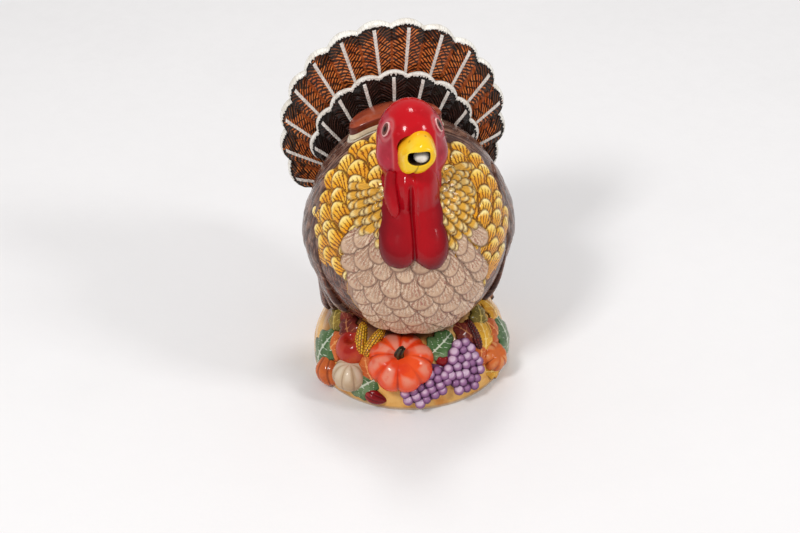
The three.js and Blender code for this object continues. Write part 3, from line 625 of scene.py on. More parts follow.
def plumage():
    g = Glaze("plumage_glaze")
    fine = g.noise(900)
    brush = g.noise(260, 4, 0.5)
    barbs = g.sum("fan", fine, 0.5)
    fading = g.span(g.sum("tip", brush, 0.9), 0.35, 0.95, 1.0, 0.0)
    grooves = g.times(g.stripes(g.sum("fan", fine, 0.3), 2.9, 0.15), fading)
    painted, beaded, pinkish = (g.span("zone", zone - 0.7, zone - 0.3) for zone in (GOLD, BEAD, PINK))

    gold = g.ramp(g.plus("tip", "tone", 0.4), (0.0, (228, 154, 38)), (0.3, (245, 190, 66)),
                  (0.7, (252, 214, 110)), (1.0, (255, 232, 158)))
    gold = g.lay(gold, (240, 160, 8), g.span(g.noise(90), 0.52, 0.66), g.span("tip", 0.95, 0.4), 0.85)
    gold = g.lay(gold, (128, 62, 6), grooves, 0.95)
    bead = g.mix(g.span(g.plus("tip", "tone", 0.6), 0.0, 0.7), (236, 174, 64), (252, 224, 156))
    bead = g.lay(bead, (240, 184, 60), g.span(brush, 0.55, 0.75), 0.4)
    # Dark brown outlines of the gold scales and beads, with painted shade in their creases
    gold = g.lay(g.mix(beaded, gold, bead), (104, 54, 6), "crease", 0.94)

    pink = g.mix(g.span(g.sum(brush, "tone", 0.3), 0.1, 0.6), (186, 148, 121), (213, 180, 151))
    pink = g.lay(pink, (238, 218, 196), g.stripes(barbs, 3.6, 0.3), fading, 0.5)
    dark = g.stripes(g.math("ADD", barbs, 0.14), 3.6, 0.4)
    pink = g.lay(pink, (160, 98, 88), dark, fading, g.span(g.noise(110), 0.4, 0.62, 0.25, 0.85))
    # Brown outlines of the pink scales, with painted shade in their creases
    pink = g.lay(pink, (130, 92, 76), "crease", 0.72)

    grey, hatch, bars, height = flank_strokes(g, brush)
    flank = g.mix(hatch, (110, 54, 32), (66, 30, 20))
    flank = g.lay(flank, (176, 136, 110), g.span(bars, 0.52, 0.66), 0.45)
    grey = g.mix(g.span(g.sum(height, brush, 0.05), 0.083, 0.071), grey, flank)
    g.color = g.mix(painted, grey, g.mix(pinkish, gold, pink))
    g.coat((232, 220, 200), "collar")
    g.coat(g.dappled((236, 230, 218), (222, 214, 200)), "inside")
    g.raise_by(g.math("SUBTRACT", 1.0, g.times(grooves, painted)), 0.0003)
    g.raise_by(g.times(hatch, g.math("SUBTRACT", 1.0, painted)), 0.0004)
    return g.done()


# Tail: two fans of feathers with raised white shafts and scalloped white rims

def fan_skin(count, spacing, radius, rise, front, thickness, relief, scallop, flare):
    slices, rings, back_rings, rim_steps = 22, 118, 40, 7
    cell = np.arange(count * slices + 1) / slices
    number = np.minimum(np.floor(cell), count - 1).astype(int)
    across = 2 * (cell - number) - 1
    angle = np.radians((cell - count / 2) * spacing)
    beyond = np.maximum(0, np.abs(angle) / math.radians(60) - 1)
    reach = radius + flare * beyond ** 2 - scallop * across ** 2
    tip = np.stack([TAIL_SHIFT + np.sin(angle) * reach, BODY_CENTRE[2] + rise + np.cos(angle) * reach], -1)
    out = unit(tip - TAIL_HUB)
    length = np.linalg.norm(tip - TAIL_HUB, axis=-1) - FEATHER_ROOT
    heading = np.unwrap(np.arctan2(out[:, 0], out[:, 1]))
    from_shaft = np.abs(heading - heading[number * slices + slices // 2])[:, None]
    half_angle = (heading[(number + 1) * slices] - heading[number * slices])[:, None] / 2

    def face(rows):
        """Place on the fan, distance from the tip, from the shaft and from the feather's edge"""
        along = np.linspace(0, 1, rows) ** 0.85
        far = (length - FEATHER_EDGE_ROUND)[:, None] * along + FEATHER_ROOT
        flat = TAIL_HUB + out[:, None] * far[..., None]
        return flat, length[:, None] + FEATHER_ROOT - far, far * from_shaft, far * (half_angle - from_shaft)

    def bulge(inset, aside):
        shaft_half = np.clip(0.95 - 0.007 * inset, 0.45, 1)
        shaft = (1 - smooth(aside, 0.7 * shaft_half, 1.3 * shaft_half)) * smooth(inset, 2.9, 3.5)
        rim = 1 - smooth(inset, 1.4, 2.4)
        pillow = (1 - np.abs(across) ** 1.6)[:, None] * (0.5 + 0.5 * smooth(inset, 1.0, 6.0))
        clumps = np.sin((inset + aside) * FULL_TURN / 4.3) * (1 - rim) * (1 - shaft) * smooth(aside, 0.5, 2)
        return relief * pillow + 0.5 * shaft + 0.15 * rim + 0.15 * clumps

    flat, inset, aside, edge = face(rings)
    back_flat, back_inset, back_aside, back_edge = (values[:, ::-1] for values in face(back_rings))
    front_y = front - bulge(inset, aside)
    back_y = front + thickness - 1.0 + 0.5 * bulge(back_inset, back_aside)
    bend = np.linspace(0, math.pi, rim_steps + 2)[1:-1]
    middle = (front_y[:, -1] + back_y[:, 0]) / 2
    half = (back_y[:, 0] - front_y[:, -1]) / 2
    rim_flat = flat[:, -1][:, None] + out[:, None] * (FEATHER_EDGE_ROUND * np.sin(bend))[None, :, None]
    rim_y = middle[:, None] - half[:, None] * np.cos(bend)[None]
    plan = np.concatenate([flat, rim_flat, back_flat], 1)
    depth = np.concatenate([front_y, rim_y, back_y], 1)

    def closed(values):
        """Adds the two poles at the ends of the fan"""
        ends = (values[:1], values[-1:])
        low, high = (np.broadcast_to(end.mean(1, keepdims=True), end.shape) for end in ends)
        return np.concatenate([low, values, high])

    def whole(face_values, rim_share, back_values):
        rim_values = rim_share * np.repeat(face_values[:, -1:], rim_steps, 1)
        return closed(np.concatenate([face_values, rim_values, back_values], 1))

    return skin(closed(np.stack([plan[..., 0], depth, plan[..., 1]], -1)), inset=whole(inset, 0, back_inset),
                aside=whole(aside, 1, back_aside), edge=whole(edge, 1, back_edge),
                feather=closed(np.broadcast_to(number[:, None], depth.shape)))


def feather_glaze(name, barbs, ground, spacing, arcs, rim_width, blotched):
    """Barbs on a dark ground, dark arcs and blotches, a white shaft and a ragged white rim"""
    g = Glaze(name)
    brushed = g.noise(150, 4, 0.6)
    lines = g.stripes(g.sum(g.math("ADD", "inset", "aside"), g.noise(300), 2.4), 1 / spacing, -0.4)
    g.color = g.mix(lines, ground, g.mix(g.span(brushed, 0.35, 0.7), *barbs))
    arc = g.stripes(g.sum(g.plus("inset", "aside", -0.4), brushed, 5.0), 1 / 4.4, 0.4)
    g.coat((42, 24, 17), arc, g.span("inset", 5, 8), g.span("inset", 34, 20), g.span("aside", 0.8, 1.6), arcs)
    g.coat(g.mix(0.5, ground, barbs[1]), g.span("edge", 0.75, 0.25), 0.8)
    blotch = g.plus(g.noise(170, 4, 0.9), g.span("inset", 14.0, 3.0), blotched)
    g.coat((30, 23, 19), g.span(blotch, 0.66, 0.72), g.span(lines, 1.0, 0.2, 0.8, 1.0))
    fringe = g.sum("inset", g.grain(g.plus("aside", "feather", 37.0), "inset", 0.95, 0.2, 4), 4.6)
    ticks = g.span(fringe, rim_width + 1.8, rim_width + 1.0)
    g.coat((24, 20, 18), ticks, g.span(g.noise(170), 0.36, 0.5, 0.3, 0.95))
    rim = g.span(fringe, rim_width + 0.15, rim_width - 0.15)
    g.coat(g.dappled((244, 240, 232), (226, 218, 206), 200), rim)
    wide = g.sum(g.plus(0.95, "inset", -0.008), g.noise(300, 2), 0.5)
    shaft = g.times(g.math("LESS_THAN", "aside", wide), g.math("GREATER_THAN", "inset", 3.2))
    g.coat(g.dappled((236, 228, 220), (206, 194, 184), 300), shaft)
    g.raise_by(lines, 0.0002)
    return g.done()


# Head, beak, eyes and wattle

HEAD_TURN = turn_x(-HEAD_TILT)


def head_point(x, ahead, rise):
    return np.stack([x, -ahead, rise], -1) @ HEAD_TURN.T + HEAD_CENTRE


def head_local(points):
    local = (points - HEAD_CENTRE) @ HEAD_TURN
    return local[..., 0], -local[..., 1], local[..., 2]


def oval_distance(points, centre, half):
    return (np.linalg.norm((points - centre) / half, axis=-1) - 1) * half.min()


def head_field(points):
    """Distance to the head, its cheeks and the neck, run together smoothly"""
    x, ahead, rise = head_local(points)
    tapered = np.stack([x / (1 - HEAD_TAPER * rise / HEAD_HALF[2]), ahead, rise], -1)
    folded = np.stack([np.abs(x), ahead, rise], -1)
    return melt([oval_distance(tapered, np.zeros(3), HEAD_HALF),
                 oval_distance(folded, CHEEK_CENTRE, CHEEK_HALF),
                 oval_distance(points, NECK_CENTRE, NECK_HALF)], 0.9)


def eye_place():
    level = math.cos(EYE_LIFT)
    x = math.sin(EYE_AROUND) * level * HEAD_HALF[0] * (1 - HEAD_TAPER * math.sin(EYE_LIFT))
    return x, math.cos(EYE_AROUND) * level * HEAD_HALF[1], math.sin(EYE_LIFT) * HEAD_HALF[2]


def head_skin():
    way = directions(rows=130, columns=170)
    near = np.zeros(way.shape[:2])
    far = np.full(way.shape[:2], 60.0)
    for _ in range(26):
        middle = (near + far) / 2
        inside = head_field(HEAD_HEART + way * middle[..., None]) < 0
        near = np.where(inside, middle, near)
        far = np.where(inside, far, middle)
    x, ahead, rise = head_local(HEAD_HEART + way * near[..., None])
    mouth = np.hypot((x + 0.5) / 6.6, (rise - 2.6) / 5.0)
    ahead = np.where(ahead > 0, lerp(np.minimum(ahead, 5.0), ahead, smooth(mouth, 1.0, 1.25)), ahead)
    aside = np.abs(x)
    eye_x, eye_ahead, eye_rise = eye_place()
    from_eye = np.sqrt((aside - eye_x) ** 2 + (ahead - eye_ahead) ** 2 + ((rise - eye_rise) * 0.72) ** 2)
    edge_line = hump(aside, MASK_EDGE, 0.45) * smooth(15 - rise, 0, 3) * smooth(rise + 15, 0, 3) * (ahead > 0)
    relief = 0.25 * hump(from_eye, 5.2, 0.6) - 0.35 * hump(from_eye, 4.1, 0.7) + 0.25 * edge_line
    cheek = smooth(aside, MASK_EDGE - 0.3, MASK_EDGE + 0.5) * smooth(17.5 - rise, 0, 4)
    socket = np.maximum(hump(from_eye, 4.2, 0.9), 0.8 * edge_line)
    return skin(swell(head_point(x, ahead, rise), relief), cheek=cheek, socket=socket,
                low=smooth(-rise, 9, 24))


def eye_skin(side):
    x, ahead, rise = eye_place()
    out = unit(np.array([side * x / HEAD_HALF[0] ** 2, -ahead / HEAD_HALF[1] ** 2, rise / HEAD_HALF[2] ** 2]))
    up = unit(np.array([0, 0, 1.0]) - out * out[2])
    way = directions(rows=40, columns=56)
    radius, _ = round_axis(way)
    outside = way[..., 2] > 0
    dome = way[..., 2] * 1.1 + 0.35 * hump(radius, 0.86, 0.1) * outside - 0.15
    local = (way[..., 0] * EYE_HALF_WIDTH)[..., None] * np.cross(up, out)
    local = local + (way[..., 1] * EYE_HALF_HEIGHT)[..., None] * up + dome[..., None] * out
    points = (np.array([side * x, -ahead, rise]) + local) @ HEAD_TURN.T + HEAD_CENTRE
    return skin(points, ring=np.where(outside, radius, 1.0))


def beak_skins():
    """The open beak, blunt round the mouth and fuller at the lower left as in the casting, and its tongue"""
    columns = 120
    angle = circle(columns)
    way = np.stack([np.cos(angle), np.sin(angle)], -1)
    degrees = np.degrees(angle)
    fullness = (1 + 0.24 * hump(degrees, 226, 20) - 0.2 * hump(degrees, 135, 34)
                - 0.15 * hump(degrees, 315, 32) + 0.07 * hump(degrees, 58, 25))
    outer = BEAK_MIDDLE + way * BEAK_HALF * fullness[:, None]
    power = np.where(way[:, 1] > 0, 5.0, 2.1)
    tall = np.where(way[:, 1] > 0, MOUTH_RISE, MOUTH_DROP)
    sides, ends = np.abs(way[:, 0] / MOUTH_HALF_WIDTH), np.abs(way[:, 1] / tall)
    opening = (sides ** power + ends ** power) ** (-1 / power)
    mouth = MOUTH_MIDDLE + way * opening[:, None]
    lip = MOUTH_MIDDLE + way * (opening + LIP)[:, None]
    lip_ahead = LIP_AHEAD + 1.7 * np.maximum(0, way[:, 1])
    rows, inside = [], []

    def row(flat, ahead, share):
        flat = flat + np.zeros((columns, 2))
        rows.append(np.stack([flat[:, 0], ahead + 0 * angle, flat[:, 1]], -1))
        inside.append(share + 0 * angle)

    row(BEAK_MIDDLE, BEAK_START, 0)
    for step in np.linspace(0.02, 1, 50):
        row(lip + (outer - lip) * math.sqrt(1 - step ** 3), lerp(BEAK_START, lip_ahead, step), 0)
    for turn in np.linspace(0.12, 1, 9):
        drop = 0.9 * (1 - math.cos(turn * QUARTER_TURN)) - 0.4 * math.sin(turn * math.pi)
        row(lerp(lip, mouth, math.sin(turn * QUARTER_TURN)), lip_ahead - drop, smooth(turn, 0.55, 0.9))
    throat = rows[-1][:, 1]
    for turn in np.linspace(0.06, 0.97, 20):
        narrowed = MOUTH_MIDDLE + (mouth - MOUTH_MIDDLE) * (1 - 0.35 * turn ** 3)
        row(narrowed, lerp(throat, BEAK_START + 3.0, turn), 1)
    row(MOUTH_MIDDLE, BEAK_START + 2.6, 1)
    x, ahead, rise = np.moveaxis(np.array(rows), -1, 0)
    inside = np.array(inside)
    outside = inside < 0.5

    def spot(spot_x, spot_rise, small, large):
        from_spot = np.sqrt((x - spot_x) ** 2 + ((ahead - NOSTRIL_AHEAD) * 0.7) ** 2
                            + ((rise - spot_rise) * 0.8) ** 2)
        return 1 - smooth(from_spot, small, large)

    nostrils = np.maximum(spot(4.4, 9.0, 0.6, 1.1), 0.4 * spot(-3.4, 8.0, 0.5, 0.9)) * outside
    turned = np.degrees(np.arctan2(rise - BEAK_MIDDLE[1], x - BEAK_MIDDLE[0])) % 360
    notch = hump(turned, 247, 6) * smooth(ahead, 17, 20) * outside
    groove = notch * smooth(LIP_AHEAD - ahead, 0.5, 3)
    shape = swell(head_point(x, ahead - 0.6 * nostrils, rise), -1.3 * groove)
    flow = directions(rows=36, columns=48)
    tongue = head_point(1.9 + flow[..., 0] * 4.0, 25.0 + flow[..., 1] * 4.2, 1.5 + flow[..., 2] * 3.2)
    # Besides the nostrils, the notch at the lower left is painted dark, as painted shade in its groove
    return [skin(shape, inside=inside, nostril=np.maximum(nostrils, 0.6 * notch), tongue=0.0,
                 root=(1 - smooth(ahead, 18.0, 24.0)) * outside),
            skin(tongue, inside=1.0, nostril=0.0, tongue=1.0, root=0.0)]


def throat_front(x, z):
    """The surface that the wattle hangs on: breast, neck and chin run together"""
    fronts = [body_front(x, z - BODY_CENTRE[2]) + 40]
    for centre, half in ((NECK_CENTRE, NECK_HALF), (HEAD_CENTRE, HEAD_HALF)):
        depth = np.clip(1 - ((x - centre[0]) / half[0]) ** 2 - ((z - centre[2]) / half[2]) ** 2, 0, 1)
        fronts.append(centre[1] - half[1] * np.sqrt(depth) + 30 * (depth <= 0) + 40)
    return melt(fronts, 0.8) - 40


def wattle_skin():
    """Two lobes that hang from the throat and part in a groove"""
    columns, rows, back_rows = 220, 96, 13
    angle = circle(columns, -math.pi)
    outline = radius_round(*(WATTLE_OUTLINE - WATTLE_MIDDLE).T, angle)
    soft = np.array([1, 3, 5, 3, 1]) / 13
    outline = sum(np.roll(outline, step - 2) * share for step, share in enumerate(soft))
    out = np.concatenate([np.linspace(0, 1, rows) ** 0.8, np.linspace(1, 0, back_rows + 1)[1:]])[:, None]
    back = np.concatenate([np.zeros(rows), np.ones(back_rows)])[:, None]
    x = WATTLE_MIDDLE[0] + out * outline * np.cos(angle)
    z = WATTLE_MIDDLE[1] + out * outline * np.sin(angle)
    low = smooth(117 - z, 0, 14)
    depth = lerp(5.2, 8.6, low) * smooth(WATTLE_TOP - z, 0, 13)
    profile = np.clip(1 - out ** 3.0, 0, 1) ** 0.5
    parting = hump(x, WATTLE_GROOVE, 1.0) * smooth(141 - z, 0, 6)
    valley = hump(x, WATTLE_GROOVE, 4.5) * low
    ridges = 1.6 * hump(x, -7.4, 1.2) * smooth(z, 120, 128) + 1.6 * hump(x, -2.4, 1.1) * smooth(z, 110, 118)
    ridges = ridges * smooth(143 - z, 0, 5)
    wrinkles = np.sin(x * 1.3 + 0.05 * z) * smooth(z, 114, 128) * smooth(143 - z, 0, 5)
    front = depth * profile * (1 - 0.3 * valley) + (0.8 * ridges - 1.5 * parting + 0.2 * wrinkles) * profile
    y = throat_front(x, z) + np.where(back > 0, 1.2, 0.4 - np.maximum(front, 0))
    # Masks for painted light and shade: dark in the parting and valley between the lobes, bright red down
    # their middle, dark along their lower outer edges
    fold = np.clip(parting + 0.35 * valley, 0, 1) * (1 - back)
    glow = hump(x, -1.5, 8.5) * smooth(z, 95, 110)
    rim = smooth(out, 0.7, 1.0) * smooth(136 - z, 0, 16)
    return skin(np.stack([x, y, z], -1), along=(WATTLE_TOP - z) / WATTLE_DROP, fold=fold, glow=glow, rim=rim)


def snood_skin():
    def swollen(along):
        return oval(lerp(0.12, 1, along))

    points, along, angle = sweep(SNOOD_STOPS, lambda t: 3.9 * swollen(t) * lerp(0.85, 1.1, t),
                                 lambda t: 3.6 * swollen(t), np.array([0, -1.0, 0]), rows=70, columns=48)
    points = swell(points, 0.25 * np.sin(along * 14 + 2 * np.sin(angle)) * (1 - along))
    # Painted shade down one side of the snood and a painted highlight towards its lower end
    return skin(points, along=0.3, fold=0.5 * smooth(-np.cos(angle), 0.2, 0.9),
                glow=0.7 * smooth(along, 0.35, 0.8), rim=0.0)


def head_glaze():
    g = Glaze("head_glaze", 0.14)
    g.color = g.dappled((190, 12, 25), (174, 8, 21), 70)
    g.coat(g.dappled((172, 38, 58), (148, 24, 42), 110), "cheek", 0.9)
    g.coat((158, 14, 28), "low", 0.7)
    g.coat((210, 124, 126), "socket", 0.5)
    g.coat((226, 70, 80), g.span(g.noise(420), 0.6, 0.72), 0.2)
    return g.done()


def wattle_glaze():
    g = Glaze("wattle_glaze", 0.13)
    hung = g.ramp("along", (0.0, (190, 13, 25)), (0.2, (172, 10, 24)), (0.45, (144, 8, 22)),
                  (0.8, (128, 7, 19)), (1.0, (96, 4, 12)))
    g.color = g.dappled(hung, (166, 14, 28), 80, 0.45, 0.7, 0.4)
    # Painted highlight down the middle of the lobes, painted shade along their lower outer edges and in the
    # parting
    g.coat((188, 10, 22), "glow", 0.6)
    g.coat((88, 4, 18), "rim", 0.6)
    g.coat((92, 5, 14), "fold", 0.5)
    return g.done()


def beak_glaze():
    g = Glaze("beak_glaze", 0.16)
    g.color = g.dappled((246, 192, 14), (244, 206, 54), 110)
    g.coat((240, 160, 16), "root", 0.6)
    # Black nostril dots, and painted shade in the notch
    g.coat((40, 26, 12), "nostril")
    # Painted shade darkens the mouth's cavity; the tongue keeps the white glaze of the inside
    g.coat(g.dappled((44, 32, 22), (92, 66, 36), 200), g.span("inside", 0.4, 0.75))
    g.coat(g.dappled((234, 227, 217), (212, 200, 186), 200), "tongue")
    return g.done()


def eye_glaze():
    g = Glaze("eye_glaze", 0.1)
    g.color = g.ramp(g.sum("ring", g.noise(600, 2), 0.1), (0.0, (28, 14, 12)), (0.3, (34, 16, 14)),
                     (0.38, (96, 52, 44)), (0.68, (112, 66, 58)), (0.76, (120, 62, 60)),
                     (0.84, (230, 186, 180)), (0.94, (218, 150, 150)), (1.0, (166, 44, 58)))
    return g.done()


# Lid: a cap that follows the back, with a cream rim and a flange that drops into the hole

def lid_skin():
    columns = 190
    angles = circle(columns)
    rows, rim, face = [], [], []

    def row(inset, grow, share=1.0, cream=1.0, steep_shade=0.0):
        x, y = lid_outline(inset, angles)
        x = HOLE_X + (x - HOLE_X) * share
        y = HOLE_Y + (y - HOLE_Y) * share
        rows.append(egg(egg_way(x, y, grow), np.full(columns, grow)))
        rim.append(np.full(columns, cream))
        # Steep sides are marked for painted shade
        face.append(np.full(columns, steep_shade))

    top = SEAT_GAP + LID_THICKNESS
    flange_out = LID_LEDGE + LID_PLAY
    flange_in = flange_out + LID_FLANGE_WALL
    bottom = -BODY_WALL - LID_FLANGE_DROP
    for share in np.linspace(0, 1, 44):
        row(LID_ROUND, top, share, 0.0)
    for turn in np.linspace(0.1, 1, 10) * QUARTER_TURN:
        edge = LID_ROUND * (1 - math.sin(turn))
        row(edge, top - LID_ROUND * (1 - math.cos(turn)), 1.0, 0.0, float(turn > 0.9))
    for grow in np.linspace(top - LID_ROUND - 0.3, SEAT_GAP + 0.4, 22):
        row(0.15 * (grow > LID_CREAM_TOP), grow, 1.0, float(grow < LID_CREAM_TOP), 1.0)
    row(0.3, SEAT_GAP)
    for inset in np.linspace(0.9, flange_out, 5):
        row(inset, SEAT_GAP)
    for grow in np.linspace(-0.6, bottom + 0.5, 9):
        row(flange_out + 0.1, grow)
    row(flange_out + 0.6, bottom)
    row(flange_in - 0.6, bottom)
    for grow in np.linspace(bottom + 0.5, SEAT_GAP - 0.6, 9):
        row(flange_in, grow)
    for share in np.linspace(0.96, 0, 10):
        row(flange_in, SEAT_GAP, share)
    return skin(np.array(rows), rim=np.array(rim), face=np.array(face))


def lid_glaze():
    g = Glaze("lid_glaze", 0.17)
    g.color = g.dappled((160, 74, 48), (138, 58, 38), 70)
    # Painted shade: the steep sides of the lid are darker brown than its top
    g.coat(g.dappled((112, 44, 28), (90, 34, 22)), "face")
    g.coat((104, 42, 28), g.span(g.noise(300, 4, 1.0), 0.58, 0.75, 0.0, 0.5))
    g.coat(g.dappled((240, 226, 196), (222, 206, 176), 140), "rim")
    return g.done()


# Wings, handle and mound

def mound_radius(height):
    share = np.maximum(0, height - FOOT_EDGE) / (MOUND_HEIGHT - FOOT_EDGE)
    return MOUND_RADIUS * np.sqrt(np.clip(1 - share ** 2, 0, 1))


def wing_path(side, shift, tip_height):
    """Stops down a flank, from the shoulder to a tip on the body or the mound"""
    def flank(y, rise):
        tall = body_tall(rise)
        deep = body_depth(rise / tall) if y < 0 else BODY_BACK
        reach = BODY_HALF_WIDTH * math.sqrt(max(0, 1 - (y / deep) ** 2 - (rise / tall) ** 2))
        return [side * reach, y, BODY_CENTRE[2] + rise]

    tip_y = 4.0 + shift
    on_mound = math.sqrt(max(0, (mound_radius(tip_height) + 1.8) ** 2 - tip_y ** 2))
    on_body = abs(flank(tip_y, tip_height - BODY_CENTRE[2])[0]) + 0.6
    return [flank(-8, 32), flank(-2 + shift / 3, 0), flank(1.6 + shift * 0.8, -28),
            [side * max(on_mound, on_body), tip_y, tip_height]]


def blunt(along):
    """Half width of a quill: even, with short round ends"""
    return np.sqrt(np.clip(1 - (2 * along - 1) ** 8, 0, 1))


def wing_skins(side):
    """A pad of coverts and a row of barred quills below it"""
    up = np.array([side, 0.0, 0.0])
    points, along, angle = sweep(wing_path(side, 0, WING_TIP + 2 * WING_PITCH),
                                 lambda t: WING_HALF * oval(t ** 0.8), lambda t: 2.8 * oval(t) ** 0.5,
                                 up, rows=100, columns=92, droop=1 / (2 * BODY_HALF_WIDTH))
    row_place = along * 7
    cell = np.cos(angle) * 3 + 0.5 * (np.floor(row_place) % 2)
    s = 2 * (cell - np.floor(cell)) - 1
    t = row_place - np.floor(row_place)
    edge = 1 - np.sqrt(s ** 2 * 0.8 + t ** 2 * 0.85)
    outside = np.sin(angle) > 0.05
    relief = np.where(outside, 0.7 * smooth(edge, -0.1, 0.35) * t, 0)
    # Dark lines where the rows of coverts overlap, with painted shade in the overlap
    crease = np.where(outside, 0.9 - 0.9 * smooth(np.abs(edge), 0.03, 0.2), 0)
    tip = np.where(outside, smooth(edge, 0.0, 0.1) * smooth(t, 0.35, 0.8), 0)
    skins = [skin(swell(points, relief), feather=s * 0.5, crease=crease, quill=0.0, tip=tip)]
    for number in range(WING_QUILLS):
        place = number - WING_QUILLS + 3
        path = wing_path(side, place * WING_PITCH, WING_TIP + QUILL_STEP * max(0, -place))[1:]
        points, along, angle = sweep(path, lambda t: QUILL_HALF * blunt(t),
                                     lambda t: 3.2 * lerp(0.6, 1, t) * blunt(t), up, rows=90, columns=28)
        across = np.cos(angle)
        shaft = hump(across, 0, 0.14) * (np.sin(angle) > 0)
        barbs = 0.08 * np.sin((along * 36 - np.abs(across) * 3) * FULL_TURN)
        # The quill's long edges are darkened: painted shade where it meets its neighbours and the body
        skins.append(skin(swell(points, 0.4 * shaft + barbs * (1 - shaft)), feather=across,
                          crease=smooth(np.abs(across), 0.82, 1.0), quill=1.0, tip=0.0))
    return skins


def wing_glaze():
    g = Glaze("wing_glaze")
    grey, hatch, bars, _ = flank_strokes(g, g.noise(170, 4, 0.6))
    barred = g.mix(hatch, (112, 56, 34), (68, 32, 22))
    barred = g.lay(barred, (182, 144, 118), g.span(bars, 0.5, 0.64), 0.55)
    barred = g.lay(barred, (176, 150, 136), g.span(g.math("ABSOLUTE", "feather"), 0.12, 0.06), 0.6)
    g.color = g.mix("quill", g.lay(grey, (176, 146, 126), "tip", 0.28), barred)
    # Dark lines and painted shade in the creases of the pad, the quills and the handle
    g.coat((50, 30, 26), "crease", 0.8)
    g.raise_by(hatch, 0.0003)
    return g.done()


def handle_skin():
    rises = ((HANDLE_TOP, BODY_TOP), (-HANDLE_BOTTOM, BODY_BOTTOM))
    upper, lower = ([0, BODY_BACK * math.sqrt(1 - (rise / tall) ** 2) - HANDLE_SINK, BODY_CENTRE[2] + rise]
                    for rise, tall in rises)
    far = BODY_BACK + HANDLE_REACH
    stops = [upper, [0, lerp(upper[1], far, 0.55), upper[2] + 5], [0, far, lerp(upper[2], lower[2], 0.3)],
             [0, lerp(upper[1], far, 0.8), lerp(upper[2], lower[2], 0.75)], lower]

    def flared(along):
        return 1 + 0.5 * np.exp(-along / 0.05) + 0.5 * np.exp(-(1 - along) / 0.05)

    points, along, angle = sweep(stops, lambda t: 4.8 * flared(t), lambda t: 6.0 * flared(t),
                                 np.array([1.0, 0, 0]), rows=120, columns=48)
    feather_rows = np.abs(np.sin((along * 15 + np.abs(np.sin(angle)) * 0.6) * math.pi))
    ridge = 0.4 * np.exp(-((np.cos(angle) + 1) / 0.05)) - 0.22 * feather_rows ** 6
    # A thin dark line in each groove between feather rows: painted shade
    return skin(swell(points, ridge), feather=np.sin(angle), crease=feather_rows ** 12, quill=0.0, tip=0.0)


def saddle_height(angle):
    """Height at which the body meets the mound"""
    low, high = FOOT_EDGE, MOUND_HEIGHT
    for _ in range(24):
        height = (low + high) / 2
        x = mound_radius(height) * math.sin(angle)
        y = -mound_radius(height) * math.cos(angle)
        rise = (height - BODY_CENTRE[2]) / BODY_BOTTOM
        deep = body_depth(rise) if y < 0 else BODY_BACK
        if (x / BODY_HALF_WIDTH) ** 2 + rise ** 2 + (y / deep) ** 2 > 1:
            low = height
        else:
            high = height
    return low


def mound_skin():
    columns, under_rows, foot_rows, dome_rows = 240, 12, 8, 72
    inner = MOUND_RADIUS - FOOT_WIDTH
    dome = np.linspace(0, 1, dome_rows) * QUARTER_TURN
    radius = np.concatenate([np.linspace(0, inner - FOOT_RECESS, under_rows),
                             np.linspace(inner, MOUND_RADIUS - 1.2, foot_rows),
                             [MOUND_RADIUS - 0.4, MOUND_RADIUS], MOUND_RADIUS * np.cos(dome)])[:, None]
    height = np.concatenate([np.full(under_rows, FOOT_RECESS), np.full(foot_rows, 0.0), [0.25, 0.9],
                             FOOT_EDGE + (MOUND_HEIGHT - FOOT_EDGE) * np.sin(dome)])[:, None]
    around = circle(columns)
    points = np.stack([radius * np.cos(around), radius * np.sin(around), height + 0 * around], -1)
    wave = np.sin(around * 9 + 1.0) * np.sin(height / 6) + np.sin(around * 17 + height / 3)
    saddle = np.array([saddle_height(angle + QUARTER_TURN) for angle in around])
    dusk = smooth(height / saddle, 0.5, 0.75) * smooth(np.cos(around + 2.6), 0.3, 0.9)
    # Painted shade in a band just below where the body sits on the mound
    return skin(swell(points, 0.3 * wave * smooth(height, 3, 8)), climb=height, dusk=dusk,
                foot=1 - smooth(height, 0.4, 1.6), under=smooth(height - saddle, -3.5, -0.5))


def mound_glaze():
    g = Glaze("mound_glaze")
    g.color = g.dappled((234, 182, 104), (220, 158, 72), 90)
    g.coat((196, 112, 46), g.span(g.noise(60, 4, 0.8), 0.52, 0.7, 0.0, 0.6))
    g.coat((240, 200, 124), g.span(g.noise(240), 0.58, 0.72, 0.0, 0.5))
    g.coat(g.dappled((116, 66, 40), (92, 40, 30), 260), "dusk", 0.85)
    # Painted shade under the body
    g.coat((74, 34, 24), "under", 0.9)
    g.coat((112, 70, 38), g.span("climb", 1.0, 3.2, 1.0, 0.0), 0.6)
    g.coat(g.dappled((222, 208, 190), (200, 182, 160), 300), "foot")
    g.raise_by(g.noise(330), 0.0003)
    return g.done()


# Fruit on the mound, each at a spot: azimuth in degrees, climb as a share of the saddle, and spin in degrees

FRUIT_LEAN = math.radians(28)
WHITE_GOURD_LEAN = math.radians(70)
GRAPE = 2.65
GOURD_RIB = 0.3
LEAF_THICKNESS = 1.8
FALLEN_LIFT = 0.35


def mound_place(azimuth, climb, spin=0):
    """Point on the mound, and axes that run round it, up it and out of it"""
    angle = math.radians(azimuth)
    height = climb * saddle_height(angle)
    reach = float(mound_radius(height))
    outward = np.array([math.sin(angle), -math.cos(angle), 0])
    share = max(0, height - FOOT_EDGE) / (MOUND_HEIGHT - FOOT_EDGE)
    normal = unit(outward * reach / MOUND_RADIUS ** 2 + np.array([0, 0, share / (MOUND_HEIGHT - FOOT_EDGE)]))
    around = np.array([math.cos(angle), math.sin(angle), 0])
    axes = np.stack([around, np.cross(normal, around), normal], -1)
    return outward * reach + np.array([0, 0, height]), axes @ turn_z(math.radians(spin))


